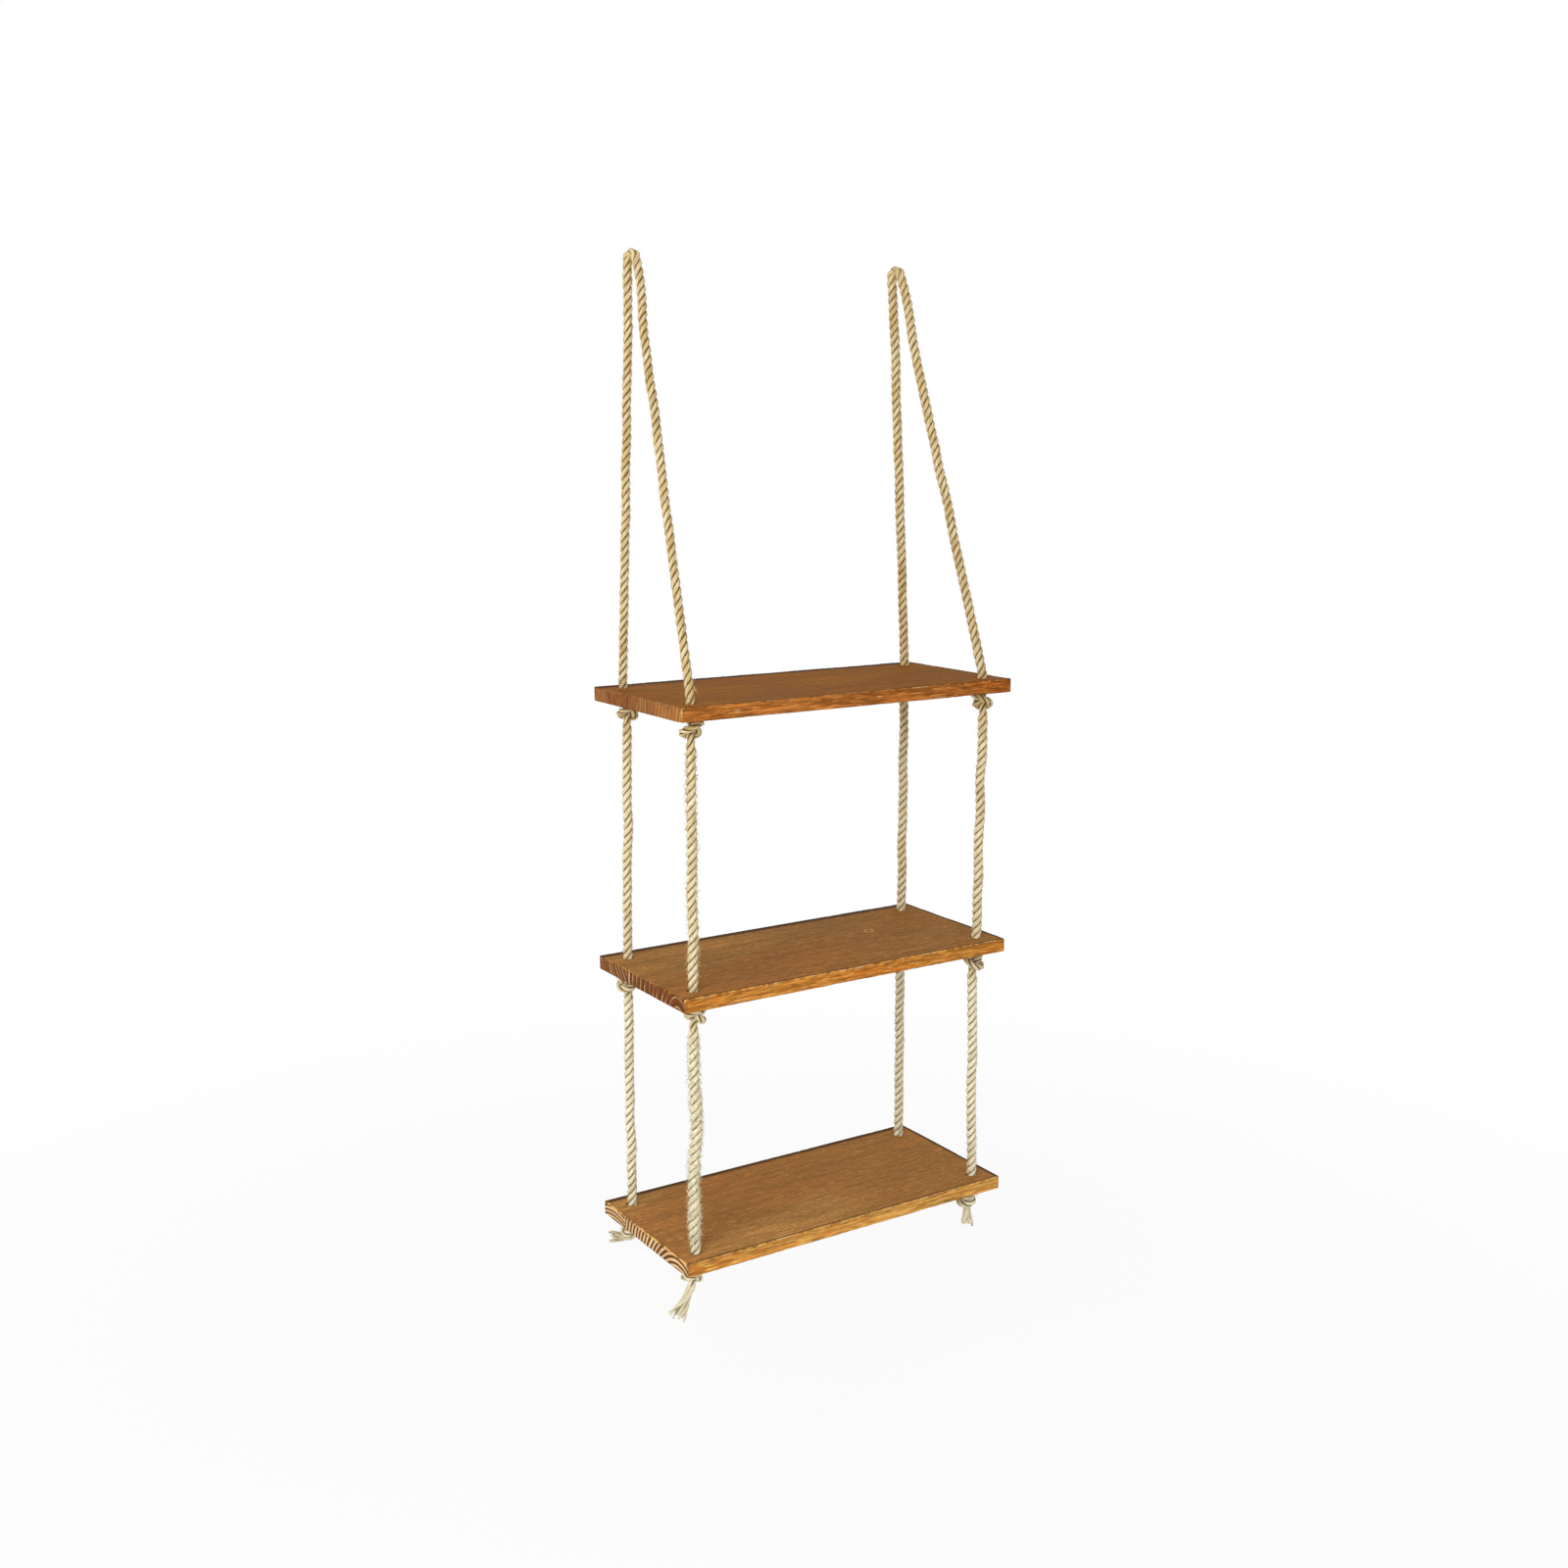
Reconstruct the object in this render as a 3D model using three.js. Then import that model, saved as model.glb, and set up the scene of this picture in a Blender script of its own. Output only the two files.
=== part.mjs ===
// A hanging shelf: three wooden boards, one above another, carried at their corners by knotted rope.
// Millimetres, +Z up, +X to the right, -Y the front and +Y the wall side.
// The origin lies midway between the two hooks, at the inside of the rope where it bends over them.
import * as THREE from "three";

// Boards
const BOARD_WIDTH = 421.6;
const BOARD_DEPTH = 190.5;
const BOARD_THICKNESS = 15.24;
const BOARD_EASE = 0.8; // the small chamfer round each face of a board and each hole
const HOLE_END_INSET = 23; // from a hole's axis to the board's end
const HOLE_EDGE_INSET = 23; // from a hole's axis to the board's front or rear edge
const HOLE_CLEARANCE = 3.8; // what a hole is wider than the hanger rope
const HOLE_SIDES = 20;

// Heights, each to the top face of a board
const HANGER_HEIGHT = 444.5; // from the hooks
const MIDDLE_DROP = 300;
const BOTTOM_DROP = 290;

// Ropes
const HOOK_SPACING = 338;
const HOOK_WIRE_DIAMETER = 2.8; // the thickness of hook that the rope is bent over
const HANGER_ROPE_DIAMETER = 9.2;
const MIDDLE_ROPE_DIAMETER = 10.4;
const BOTTOM_ROPE_DIAMETER = 11;
const ROPE_SIDES = 10;
const GAP = 0.3; // between pieces that meet
const SWAY_CLEARANCE = 0.8; // where a rope bends sideways below the hooks
const SHOULDER_LENGTH = 10; // the straight rope between a crown and that bend
const CROWN_STEPS = 14;
const BALL_SIDES = 10;
const BALL_RINGS = 6;

// Knots
const KNOT_PRESS_SHARE = 0.78; // of the hanger rope's diameter, which the knot presses together
const KNOT_RISE = 1; // how far the rope of a knot stands out of the hole above it
const KNOT_SIDES = 6;
const KNOT_STEPS = 46;
const KNOT_TURNS_DEG = {
  top: { rear_left: 180, front_left: 195, front_right: 288, rear_right: 320 },
  middle: { rear_left: 345, front_left: 150, front_right: 170, rear_right: 250 },
  bottom: { rear_left: 300, front_left: 185, front_right: 75, rear_right: 10 },
};

// The shape of a knot's centre line, in rope diameters
const KNOT_CORE_POINTS = 44;
const KNOT_LEAD_POINTS = 6;
const KNOT_REACH_SHARE = 2.15; // the formula's range to each side of its middle
const KNOT_SPREAD_SHARE = 0.9; // the formula's size before the knot is drawn tight
const KNOT_OPEN_SHARE = 3; // how many times wider apart the ends and planes start
const KNOT_END_SHARE = 1.9; // from the middle of a knot to where its ends are held
const KNOT_FLAT_SHARE = 1; // from the middle to the planes that press it flat
const KNOT_APART_SHARE = 1.18; // what the turns push each other apart to
const KNOT_PULL_SHARE = 0.6; // how hard each round straightens the rope
const KNOT_SHRINK_SHARE = 0.99; // what each round leaves of the rope's length
const KNOT_STEP_SHARE = 0.15; // the least step between two points
const KNOT_ROUNDS = 500;
const KNOT_CLOSING_SHARE = 0.5; // the part of the rounds in which the ends draw out
const KNOT_HELD_POINTS = 3;

// Frayed ends under the bottom board: length, half the width of the end, and how far each leans
const TAILS = {
  rear_left: { length: 26, flare: 5.5, sideDeg: -96, forwardDeg: 10 },
  front_left: { length: 36, flare: 9, sideDeg: -52, forwardDeg: 6 },
  front_right: { length: 20, flare: 6, sideDeg: -10, forwardDeg: 4 },
  rear_right: { length: 20, flare: 6, sideDeg: 12, forwardDeg: -8 },
};
const TAIL_SIDES = 10;
const TAIL_WAIST_SHARE = 0.45; // of a tail's length, where it starts to spread
const TAIL_EDGE_SHARE = 0.92; // of a tail's length, where it is widest

// Sizes that follow from those above
const HOLE_SPAN_X = BOARD_WIDTH - 2 * HOLE_END_INSET;
const HOLE_SPAN_Y = BOARD_DEPTH - 2 * HOLE_EDGE_INSET;
const HOLE_DIAMETER = HANGER_ROPE_DIAMETER + HOLE_CLEARANCE;
const KNOT_ROPE_DIAMETER = HANGER_ROPE_DIAMETER * KNOT_PRESS_SHARE;
const CROWN_RADIUS = (HOOK_WIRE_DIAMETER + HANGER_ROPE_DIAMETER) / 2;
const CROWN_CENTRE_Z = -HOOK_WIRE_DIAMETER / 2;

const TIERS = [
  { name: "top", top: -HANGER_HEIGHT, rope: HANGER_ROPE_DIAMETER, wood: 0x96693c },
  { name: "middle", top: -HANGER_HEIGHT - MIDDLE_DROP, rope: MIDDLE_ROPE_DIAMETER, wood: 0x9c6e42 },
  {
    name: "bottom",
    top: -HANGER_HEIGHT - MIDDLE_DROP - BOTTOM_DROP,
    rope: BOTTOM_ROPE_DIAMETER,
    wood: 0xa1733f,
  },
];

const CORNERS = [
  { name: "rear_left", x: -HOLE_SPAN_X / 2, y: 0 },
  { name: "front_left", x: -HOLE_SPAN_X / 2, y: -HOLE_SPAN_Y },
  { name: "front_right", x: HOLE_SPAN_X / 2, y: -HOLE_SPAN_Y },
  { name: "rear_right", x: HOLE_SPAN_X / 2, y: 0 },
];

// Materials
const wood = (color) => new THREE.MeshStandardMaterial({ color, roughness: 0.55, metalness: 0 });
const rope = (color) => new THREE.MeshStandardMaterial({ color, roughness: 0.9, metalness: 0 });
const ROPE_MATERIALS = {
  top: rope(0xd6b984),
  middle: rope(0xdcc79b),
  bottom: rope(0xe6dcbe),
};

const part = new THREE.Group();

function addMesh(name, geometry, material, parent = part) {
  const mesh = new THREE.Mesh(geometry, material);
  mesh.name = name;
  parent.add(mesh);
  return mesh;
}

// The round section that a rope is swept with.
function section(diameter, sides) {
  const points = [];
  for (let k = 0; k < sides; k += 1) {
    const angle = (k / sides) * 2 * Math.PI;
    points.push(new THREE.Vector2(Math.cos(angle), Math.sin(angle)).multiplyScalar(diameter / 2));
  }
  return new THREE.Shape(points);
}

function ropeAlong(curve, diameter, sides, steps) {
  const settings = { steps, bevelEnabled: false, extrudePath: curve };
  return new THREE.ExtrudeGeometry(section(diameter, sides), settings);
}

// A straight rope up the Z axis from the origin.
function straightRope(diameter, length) {
  const radius = diameter / 2;
  const geometry = new THREE.CylinderGeometry(radius, radius, length, ROPE_SIDES);
  geometry.rotateX(Math.PI / 2);
  geometry.translate(0, 0, length / 2);
  return geometry;
}

// A straight rope up the Z axis whose lower end is half a ball round the origin.
function roundEndedRope(diameter, length) {
  const radius = diameter / 2;
  const end = new THREE.Path();
  end.absarc(0, 0, radius, -Math.PI / 2, 0, false);
  const profile = end.getPoints(BALL_RINGS / 2);
  profile[0].x = 0;
  profile.push(new THREE.Vector2(radius, length), new THREE.Vector2(0, length));
  const geometry = new THREE.LatheGeometry(profile, ROPE_SIDES);
  geometry.rotateX(Math.PI / 2);
  return geometry;
}

function ball(diameter) {
  return new THREE.SphereGeometry(diameter / 2, BALL_SIDES, BALL_RINGS);
}

// Turns and places a mesh so that its own Z axis runs from one point towards another.
function aim(mesh, from, to) {
  mesh.position.copy(from);
  const way = to.clone().sub(from).normalize();
  mesh.quaternion.setFromUnitVectors(new THREE.Vector3(0, 0, 1), way);
}

// A board with its rear holes on the X axis, standing on the plane Z = 0.
function boardGeometry() {
  const left = -BOARD_WIDTH / 2;
  const front = -(BOARD_DEPTH - HOLE_EDGE_INSET);
  const outline = new THREE.Shape();
  outline.moveTo(left, front);
  outline.lineTo(-left, front);
  outline.lineTo(-left, HOLE_EDGE_INSET);
  outline.lineTo(left, HOLE_EDGE_INSET);
  outline.closePath();
  for (const corner of CORNERS) {
    const hole = new THREE.Path();
    hole.absarc(corner.x, corner.y, HOLE_DIAMETER / 2, 0, 2 * Math.PI, true);
    outline.holes.push(hole);
  }
  const geometry = new THREE.ExtrudeGeometry(outline, {
    depth: BOARD_THICKNESS - 2 * BOARD_EASE,
    bevelEnabled: true,
    bevelThickness: BOARD_EASE,
    bevelSize: BOARD_EASE,
    bevelOffset: -BOARD_EASE,
    bevelSegments: 1,
    curveSegments: HOLE_SIDES / 2,
  });
  geometry.translate(0, 0, BOARD_EASE);
  return geometry;
}

// How far apart two points of a knot stay, by the length of rope between them.
function apartAfter(arc) {
  const turn = Math.min(arc / KNOT_APART_SHARE, Math.PI / 2);
  return KNOT_APART_SHARE * Math.sin(turn);
}

// The open shape of an overhand knot, its two ends led away up and down the Z axis.
function looseKnot() {
  const core = [];
  for (let k = 0; k < KNOT_CORE_POINTS; k += 1) {
    const share = k / (KNOT_CORE_POINTS - 1);
    const t = THREE.MathUtils.lerp(-KNOT_REACH_SHARE, KNOT_REACH_SHARE, share);
    const point = new THREE.Vector3(t ** 4 - 4 * t ** 2, t ** 5 / 5 - 2 * t, t ** 3 - 3 * t);
    core.push(point.multiplyScalar(KNOT_SPREAD_SHARE));
  }
  const middle = core.reduce((sum, point) => sum + point.x, 0) / core.length;
  core.forEach((point) => {
    point.x -= middle;
  });
  const far = KNOT_END_SHARE * KNOT_OPEN_SHARE;
  const below = [];
  const above = [];
  for (let k = 1; k <= KNOT_LEAD_POINTS; k += 1) {
    const share = k / KNOT_LEAD_POINTS;
    below.unshift(core[0].clone().lerp(new THREE.Vector3(0, 0, -far), share));
    above.push(core[core.length - 1].clone().lerp(new THREE.Vector3(0, 0, far), share));
  }
  return [...below, ...core, ...above];
}

function meanStep(points) {
  let length = 0;
  for (let k = 1; k < points.length; k += 1) {
    length += points[k].distanceTo(points[k - 1]);
  }
  return length / (points.length - 1);
}

// Straightens the rope a little at each inner point.
function straighten(points) {
  return points.map((point, k) => {
    if (k === 0 || k === points.length - 1) {
      return point.clone();
    }
    const between = points[k - 1].clone().add(points[k + 1]).multiplyScalar(0.5);
    return point.clone().lerp(between, KNOT_PULL_SHARE);
  });
}

// Moves each pair of neighbours towards one step apart.
function evenOut(points, step) {
  const moves = points.map(() => new THREE.Vector3());
  for (let k = 1; k < points.length; k += 1) {
    const way = points[k].clone().sub(points[k - 1]);
    const length = way.length();
    way.multiplyScalar((0.5 * (length - step)) / length);
    moves[k - 1].add(way);
    moves[k].sub(way);
  }
  points.forEach((point, k) => point.add(moves[k]));
}

// Pushes points that lie too close back from each other.
function keepApart(points, step) {
  const moves = points.map(() => new THREE.Vector3());
  const pushes = points.map(() => 0);
  for (let i = 0; i < points.length; i += 1) {
    for (let j = i + 2; j < points.length; j += 1) {
      const away = points[j].clone().sub(points[i]);
      const distance = away.length();
      const short = apartAfter((j - i) * step) - distance;
      if (short > 0) {
        away.multiplyScalar((0.5 * short) / distance);
        moves[i].sub(away);
        moves[j].add(away);
        pushes[i] += 1;
        pushes[j] += 1;
      }
    }
  }
  points.forEach((point, k) => point.addScaledVector(moves[k], 1 / Math.max(pushes[k], 1)));
}

// Draws the knot tight between its ends, pressed flat between two planes, in rope diameters.
function tightKnot() {
  let points = looseKnot();
  for (let round = 0; round < KNOT_ROUNDS; round += 1) {
    const closed = Math.min(1, round / (KNOT_CLOSING_SHARE * KNOT_ROUNDS));
    const open = THREE.MathUtils.lerp(KNOT_OPEN_SHARE, 1, closed);
    const step = Math.max(KNOT_STEP_SHARE, meanStep(points) * KNOT_SHRINK_SHARE);
    points = straighten(points);
    evenOut(points, step);
    keepApart(points, step);
    const flat = KNOT_FLAT_SHARE * open;
    points.forEach((point) => {
      point.z = THREE.MathUtils.clamp(point.z, -flat, flat);
    });
    for (let k = 0; k < KNOT_HELD_POINTS; k += 1) {
      const height = KNOT_END_SHARE * open - k * step;
      points[k].set(0, 0, -height);
      points[points.length - 1 - k].set(0, 0, height);
    }
  }
  return points;
}

// The least space between two turns of a knot, measured on its points.
function leastGap(points) {
  const farther = (KNOT_APART_SHARE * Math.PI) / 2;
  let least = Infinity;
  for (let i = 0; i < points.length; i += 1) {
    let arc = 0;
    for (let j = i + 1; j < points.length; j += 1) {
      arc += points[j].distanceTo(points[j - 1]);
      if (arc > farther) {
        least = Math.min(least, points[i].distanceTo(points[j]));
      }
    }
  }
  return (least - 1) * KNOT_ROPE_DIAMETER;
}

const KNOT_POINTS = tightKnot();
console.log(`Least gap of a knot to itself: ${leastGap(KNOT_POINTS).toFixed(2)} mm`);

const knotCentreZ = (tier) =>
  tier.top - BOARD_THICKNESS - GAP - (KNOT_FLAT_SHARE + 0.5) * KNOT_ROPE_DIAMETER;
const knotFootZ = (tier) => knotCentreZ(tier) - KNOT_END_SHARE * KNOT_ROPE_DIAMETER;
const knotHeadZ = (tier) => tier.top + KNOT_RISE;

// The rope through a board's hole and the overhand knot below it. The two sides are tied mirrored.
function addKnot(tier, corner) {
  const turn = THREE.MathUtils.degToRad(KNOT_TURNS_DEG[tier.name][corner.name]);
  const mirror = new THREE.Vector3(1, Math.sign(corner.x), 1);
  const points = KNOT_POINTS.map((point) => point.clone().multiply(mirror).multiplyScalar(KNOT_ROPE_DIAMETER));
  points.push(new THREE.Vector3(0, 0, knotHeadZ(tier) - knotCentreZ(tier)));
  const curve = new THREE.CatmullRomCurve3(points, false, "centripetal");
  const geometry = ropeAlong(curve, KNOT_ROPE_DIAMETER, KNOT_SIDES, KNOT_STEPS);
  const mesh = addMesh(`${tier.name}_knot_${corner.name}`, geometry, ROPE_MATERIALS[tier.name]);
  mesh.position.set(corner.x, corner.y, knotCentreZ(tier));
  mesh.rotation.z = turn;
}

// The straight rope from one board down to the next, with the short bend at each of its ends.
function addStretch(upper, lower, corner) {
  const radius = lower.rope / 2;
  const material = ROPE_MATERIALS[lower.name];
  const upperZ = knotFootZ(upper) - GAP - radius;
  const lowerZ = knotHeadZ(lower) + GAP + radius;
  const bottomZ = lowerZ + radius + GAP;
  const length = upperZ - radius - GAP - bottomZ;
  const upperBend = addMesh(`${lower.name}_upper_bend_${corner.name}`, ball(lower.rope), material);
  upperBend.position.set(corner.x, corner.y, upperZ);
  const stretch = addMesh(`${lower.name}_rope_${corner.name}`, straightRope(lower.rope, length), material);
  stretch.position.set(corner.x, corner.y, bottomZ);
  const lowerBend = addMesh(`${lower.name}_lower_bend_${corner.name}`, ball(lower.rope), material);
  lowerBend.position.set(corner.x, corner.y, lowerZ);
}

// A frayed end, hanging from a round top at the origin down the Z axis and spreading.
function tailGeometry(tail) {
  const radius = KNOT_ROPE_DIAMETER / 2;
  const top = new THREE.Path();
  top.absarc(0, 0, radius, 0, Math.PI / 2, false);
  const profile = [
    new THREE.Vector2(0, -tail.length),
    new THREE.Vector2(tail.flare, -tail.length * TAIL_EDGE_SHARE),
    new THREE.Vector2(radius, -tail.length * TAIL_WAIST_SHARE),
    ...top.getPoints(BALL_RINGS / 2),
  ];
  profile[profile.length - 1].x = 0;
  const geometry = new THREE.LatheGeometry(profile, TAIL_SIDES);
  geometry.rotateX(Math.PI / 2);
  return geometry;
}

function addTail(tier, corner) {
  const tail = TAILS[corner.name];
  const mesh = addMesh(`tail_${corner.name}`, tailGeometry(tail), ROPE_MATERIALS[tier.name]);
  mesh.position.set(corner.x, corner.y, knotFootZ(tier) - GAP - KNOT_ROPE_DIAMETER / 2);
  mesh.rotation.x = -THREE.MathUtils.degToRad(tail.forwardDeg);
  mesh.rotation.y = -THREE.MathUtils.degToRad(tail.sideDeg);
}

// The arch of rope over a hook, in the plane X = 0, with its angles counted from +Y towards +Z.
class Arch extends THREE.Curve {
  constructor(radius, start, end) {
    super();
    this.radius = radius;
    this.start = start;
    this.end = end;
  }

  getPoint(t, target = new THREE.Vector3()) {
    const angle = THREE.MathUtils.lerp(this.start, this.end, t);
    return target.set(0, this.radius * Math.cos(angle), this.radius * Math.sin(angle));
  }
}

// One rope over its hook: the crown, and in front and behind a shoulder and a hanger down to the board.
function addHanger(side) {
  const radius = HANGER_ROPE_DIAMETER / 2;
  const direction = side === "left" ? -1 : 1;
  const material = ROPE_MATERIALS.top;
  const footZ = knotHeadZ(TIERS[0]) + GAP + radius;
  const outward = (HOLE_SPAN_X - HOOK_SPACING) / 2;
  const fall = CROWN_CENTRE_Z - footZ;
  const drop = Math.hypot(outward, fall);
  const hanger = new THREE.Group();
  hanger.position.set((direction * HOOK_SPACING) / 2, 0, CROWN_CENTRE_Z);
  hanger.rotation.y = -direction * Math.atan2(outward, fall);
  part.add(hanger);

  // Where each half of the rope leaves the crown, as an angle from +Y towards +Z
  const leave = {};
  for (const [end, y] of [["rear", 0], ["front", -HOLE_SPAN_Y]]) {
    const foot = new THREE.Vector3(0, y, -drop);
    const spread = Math.acos(CROWN_RADIUS / foot.length());
    const towards = Math.atan2(-drop, y);
    const angle = end === "rear" ? towards + spread : towards - spread + 2 * Math.PI;
    leave[end] = angle;
    const start = new THREE.Vector3(0, Math.cos(angle), Math.sin(angle)).multiplyScalar(CROWN_RADIUS);
    const way = foot.clone().sub(start).normalize();
    const shoulderTop = start.clone().addScaledVector(way, GAP);
    const shoulderFoot = shoulderTop.clone().addScaledVector(way, SHOULDER_LENGTH);
    const hangerTop = shoulderFoot.clone().addScaledVector(way, SWAY_CLEARANCE);
    const shoulderShape = straightRope(HANGER_ROPE_DIAMETER, SHOULDER_LENGTH);
    const shoulder = addMesh(`shoulder_${end}_${side}`, shoulderShape, material, hanger);
    aim(shoulder, shoulderFoot, shoulderTop);
    const hangerShape = roundEndedRope(HANGER_ROPE_DIAMETER, foot.distanceTo(hangerTop));
    const run = addMesh(`hanger_${end}_${side}`, hangerShape, material, hanger);
    aim(run, foot, hangerTop);
  }
  const arch = new Arch(CROWN_RADIUS, leave.rear, leave.front);
  const crownShape = ropeAlong(arch, HANGER_ROPE_DIAMETER, ROPE_SIDES, CROWN_STEPS);
  addMesh(`crown_${side}`, crownShape, material, hanger);
}

for (const tier of TIERS) {
  const board = addMesh(`${tier.name}_board`, boardGeometry(), wood(tier.wood));
  board.position.z = tier.top - BOARD_THICKNESS;
  for (const corner of CORNERS) {
    addKnot(tier, corner);
  }
}
for (const corner of CORNERS) {
  addStretch(TIERS[0], TIERS[1], corner);
  addStretch(TIERS[1], TIERS[2], corner);
  addTail(TIERS[2], corner);
}
addHanger("left");
addHanger("right");

export default part;
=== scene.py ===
"""A hanging shelf: three stained boards, one above another, carried at their corners by two knotted ropes."""
import collections
import functools
import itertools
import math
import random
import types

import bpy
import numpy as np
from mathutils import Matrix, Vector, noise


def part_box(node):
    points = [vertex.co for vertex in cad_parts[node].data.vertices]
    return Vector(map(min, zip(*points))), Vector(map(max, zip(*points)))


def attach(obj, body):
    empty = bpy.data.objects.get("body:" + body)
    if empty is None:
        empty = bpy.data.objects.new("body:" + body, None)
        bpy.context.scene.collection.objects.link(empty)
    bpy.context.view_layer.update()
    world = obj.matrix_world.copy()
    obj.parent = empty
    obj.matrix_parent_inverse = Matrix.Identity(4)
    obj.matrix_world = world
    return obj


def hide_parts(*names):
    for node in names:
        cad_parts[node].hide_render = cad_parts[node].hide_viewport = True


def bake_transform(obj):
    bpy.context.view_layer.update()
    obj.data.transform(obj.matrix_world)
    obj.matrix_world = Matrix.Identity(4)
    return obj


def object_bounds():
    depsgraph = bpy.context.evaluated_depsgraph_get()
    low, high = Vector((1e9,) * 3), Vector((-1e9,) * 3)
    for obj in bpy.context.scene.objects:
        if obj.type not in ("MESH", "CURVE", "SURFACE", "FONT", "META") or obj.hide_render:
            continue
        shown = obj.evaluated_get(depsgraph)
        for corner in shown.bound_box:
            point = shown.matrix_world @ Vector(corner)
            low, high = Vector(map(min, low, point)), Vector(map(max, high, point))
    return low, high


bl_info = {
    "name": "Hanging Rope Shelf",
    "version": (1, 0, 0),
    "blender": (4, 5, 0),
    "location": "View3D > Sidebar > Rope Shelf",
    "description": "Builds a shelf of three stained boards on two knotted ropes",
    "category": "Add Mesh",
}

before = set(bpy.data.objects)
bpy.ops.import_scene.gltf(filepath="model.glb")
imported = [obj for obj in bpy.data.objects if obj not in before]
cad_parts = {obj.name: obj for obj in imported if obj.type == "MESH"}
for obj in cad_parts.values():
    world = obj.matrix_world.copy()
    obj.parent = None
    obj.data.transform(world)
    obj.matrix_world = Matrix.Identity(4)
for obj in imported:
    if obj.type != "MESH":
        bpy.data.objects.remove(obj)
CAD_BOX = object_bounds()

MM = 0.001
TURN = 2 * math.pi

TIERS = ("top", "middle", "bottom")
SIDES = ("left", "right")
CORNERS = ("rear_left", "front_left", "front_right", "rear_right")
SEEDS = {"crowns": 11, "legs": 21, "knots": 40, "stretches": 70, "ends": 90}

# Hanging ropes, as in the frame, and how far their folds over the hooks are turned
HOOK_SPACING = 338 * MM
HOOK_WIRE_DIAMETER = 2.8 * MM
HANGER_DIAMETER = 9.2 * MM
SHOULDER_LENGTH = 11 * MM
FOLD_TURN = math.radians(18)
FOLD_REACH = 75 * MM
ARCH_POINTS = 28  # of the rope where it lies on the hook
CROWN_TIGHTNESS = 0.07  # the share of its radius by which a rope's strands close up over a hook

# Knots: their places are the frame's, and their shape is drawn tight by the same steps
KNOT_TURNS_DEG = {
    "top": {"rear_left": 180, "front_left": 195, "front_right": 288, "rear_right": 320},
    "middle": {"rear_left": 345, "front_left": 150, "front_right": 170, "rear_right": 250},
    "bottom": {"rear_left": 300, "front_left": 185, "front_right": 75, "rear_right": 10},
}
KNOT_CORE_POINTS = 44
KNOT_LEAD_POINTS = 6
KNOT_REACH_SHARE = 2.15
KNOT_SPREAD_SHARE = 0.9
KNOT_OPEN_SHARE = 3
KNOT_END_SHARE = 1.9
KNOT_FLAT_SHARE = 1
KNOT_APART_SHARE = 1.18
KNOT_PULL_SHARE = 0.6
KNOT_SHRINK_SHARE = 0.99
KNOT_STEP_SHARE = 0.15
KNOT_ROUNDS = 500
KNOT_CLOSING_SHARE = 0.5
KNOT_HELD_POINTS = 3
KNOT_GAP = 0.3 * MM
KNOT_STEP = 1.1 * MM
KNOT_SMOOTHING_PASSES = 6
KNOT_LEAD_IN = 2 * MM  # how far inside its board a knot's rope starts to narrow
KNOT_LEAD_OUT = 4 * MM  # how far below the board it has narrowed, and above the knot's end it widens
HOLE_INSET = 2 * MM  # of the rope's straight part in a hole, from the board's top and underside
RADIUS_EASING = 3 * MM  # how far a change of the radius reaches each way
PRESSED = 0.1 * MM  # how far below its board the pressed top of a knot lies
PRESSED_REACH = 6 * MM
HOLE_MARGIN = 0.3 * MM  # how far inside the hole the pressing starts

# Rope
STRANDS = 3
STRAND_SIDES = 24
YARNS = 6
YARN_TWIST = 1.1  # turns of the yarns for each turn of the strands
RING_STEP = 1.3 * MM
LAP = 3.5 * MM  # how far each length of rope starts inside the one above it
SLIM = 0.94  # the share of its radius that a rope's start has, where it is hidden in the one above
# How far a laid rope's strands reach beyond the round rope of the frame, on the left and on the right
FULLNESS = {"top": (1.07, 1.2), "middle": (1.07, 1.15), "bottom": (1.07, 1.12)}
# How far beside its bend a stretch of rope leaves its knot
LEANS = {
    ("middle", "rear_left"): 4 * MM,
    ("middle", "front_right"): 2.5 * MM,
    ("bottom", "front_right"): -5.5 * MM,
    ("end", "front_left"): -5.5 * MM,
    ("end", "front_right"): -5 * MM,
}
# How far a rope wavers from a straight line: above the boards, between them, and the loosest of those
HANGER_WAVER = 1.4 * MM
WAVER = 2.2 * MM
LOOSE_WAVER = 4.2 * MM
STEADY = 1.4  # how much the strands of most ropes thicken and thin, and more so on the front left rope
UNEVEN = {"middle": 1.5, "bottom": 2.6}
SWELLING = {"middle": 0.06, "bottom": 0.08}  # how much the front left rope thickens on its way down
HANGER_FIBRES = 700  # stray fibres per metre
LOWER_FIBRES = 900
FLUFFY = {"middle": 2500, "bottom": 9000}  # more of them per metre of the front left rope
FLUFF_SHARE = 0.75  # of the longest stray fibre
FLUFF_STOUTNESS = 3.6
FIBRE_RINGS = 5
FIBRE_SIDES = 3
FIBRE_ROOT = 0.5 * MM  # how deep in the rope a stray fibre starts
FIBRE_SCATTER = 0.6 * MM  # how much further in than a strand's outermost point one can start
# From how far above a board's underside to how far below it the rope that hangs from it pales
PALING_START = 10 * MM
PALING = {"top": 90 * MM, "middle": 90 * MM, "bottom": 60 * MM}
TUFT_RISE = 14 * MM
TUFT_LENGTH = 12 * MM
TUFT_WAY = (0.84, -0.54, 0.3)
TUFT_FIBRES = 14
TUFT_STOUTNESS = 2.2

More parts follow.
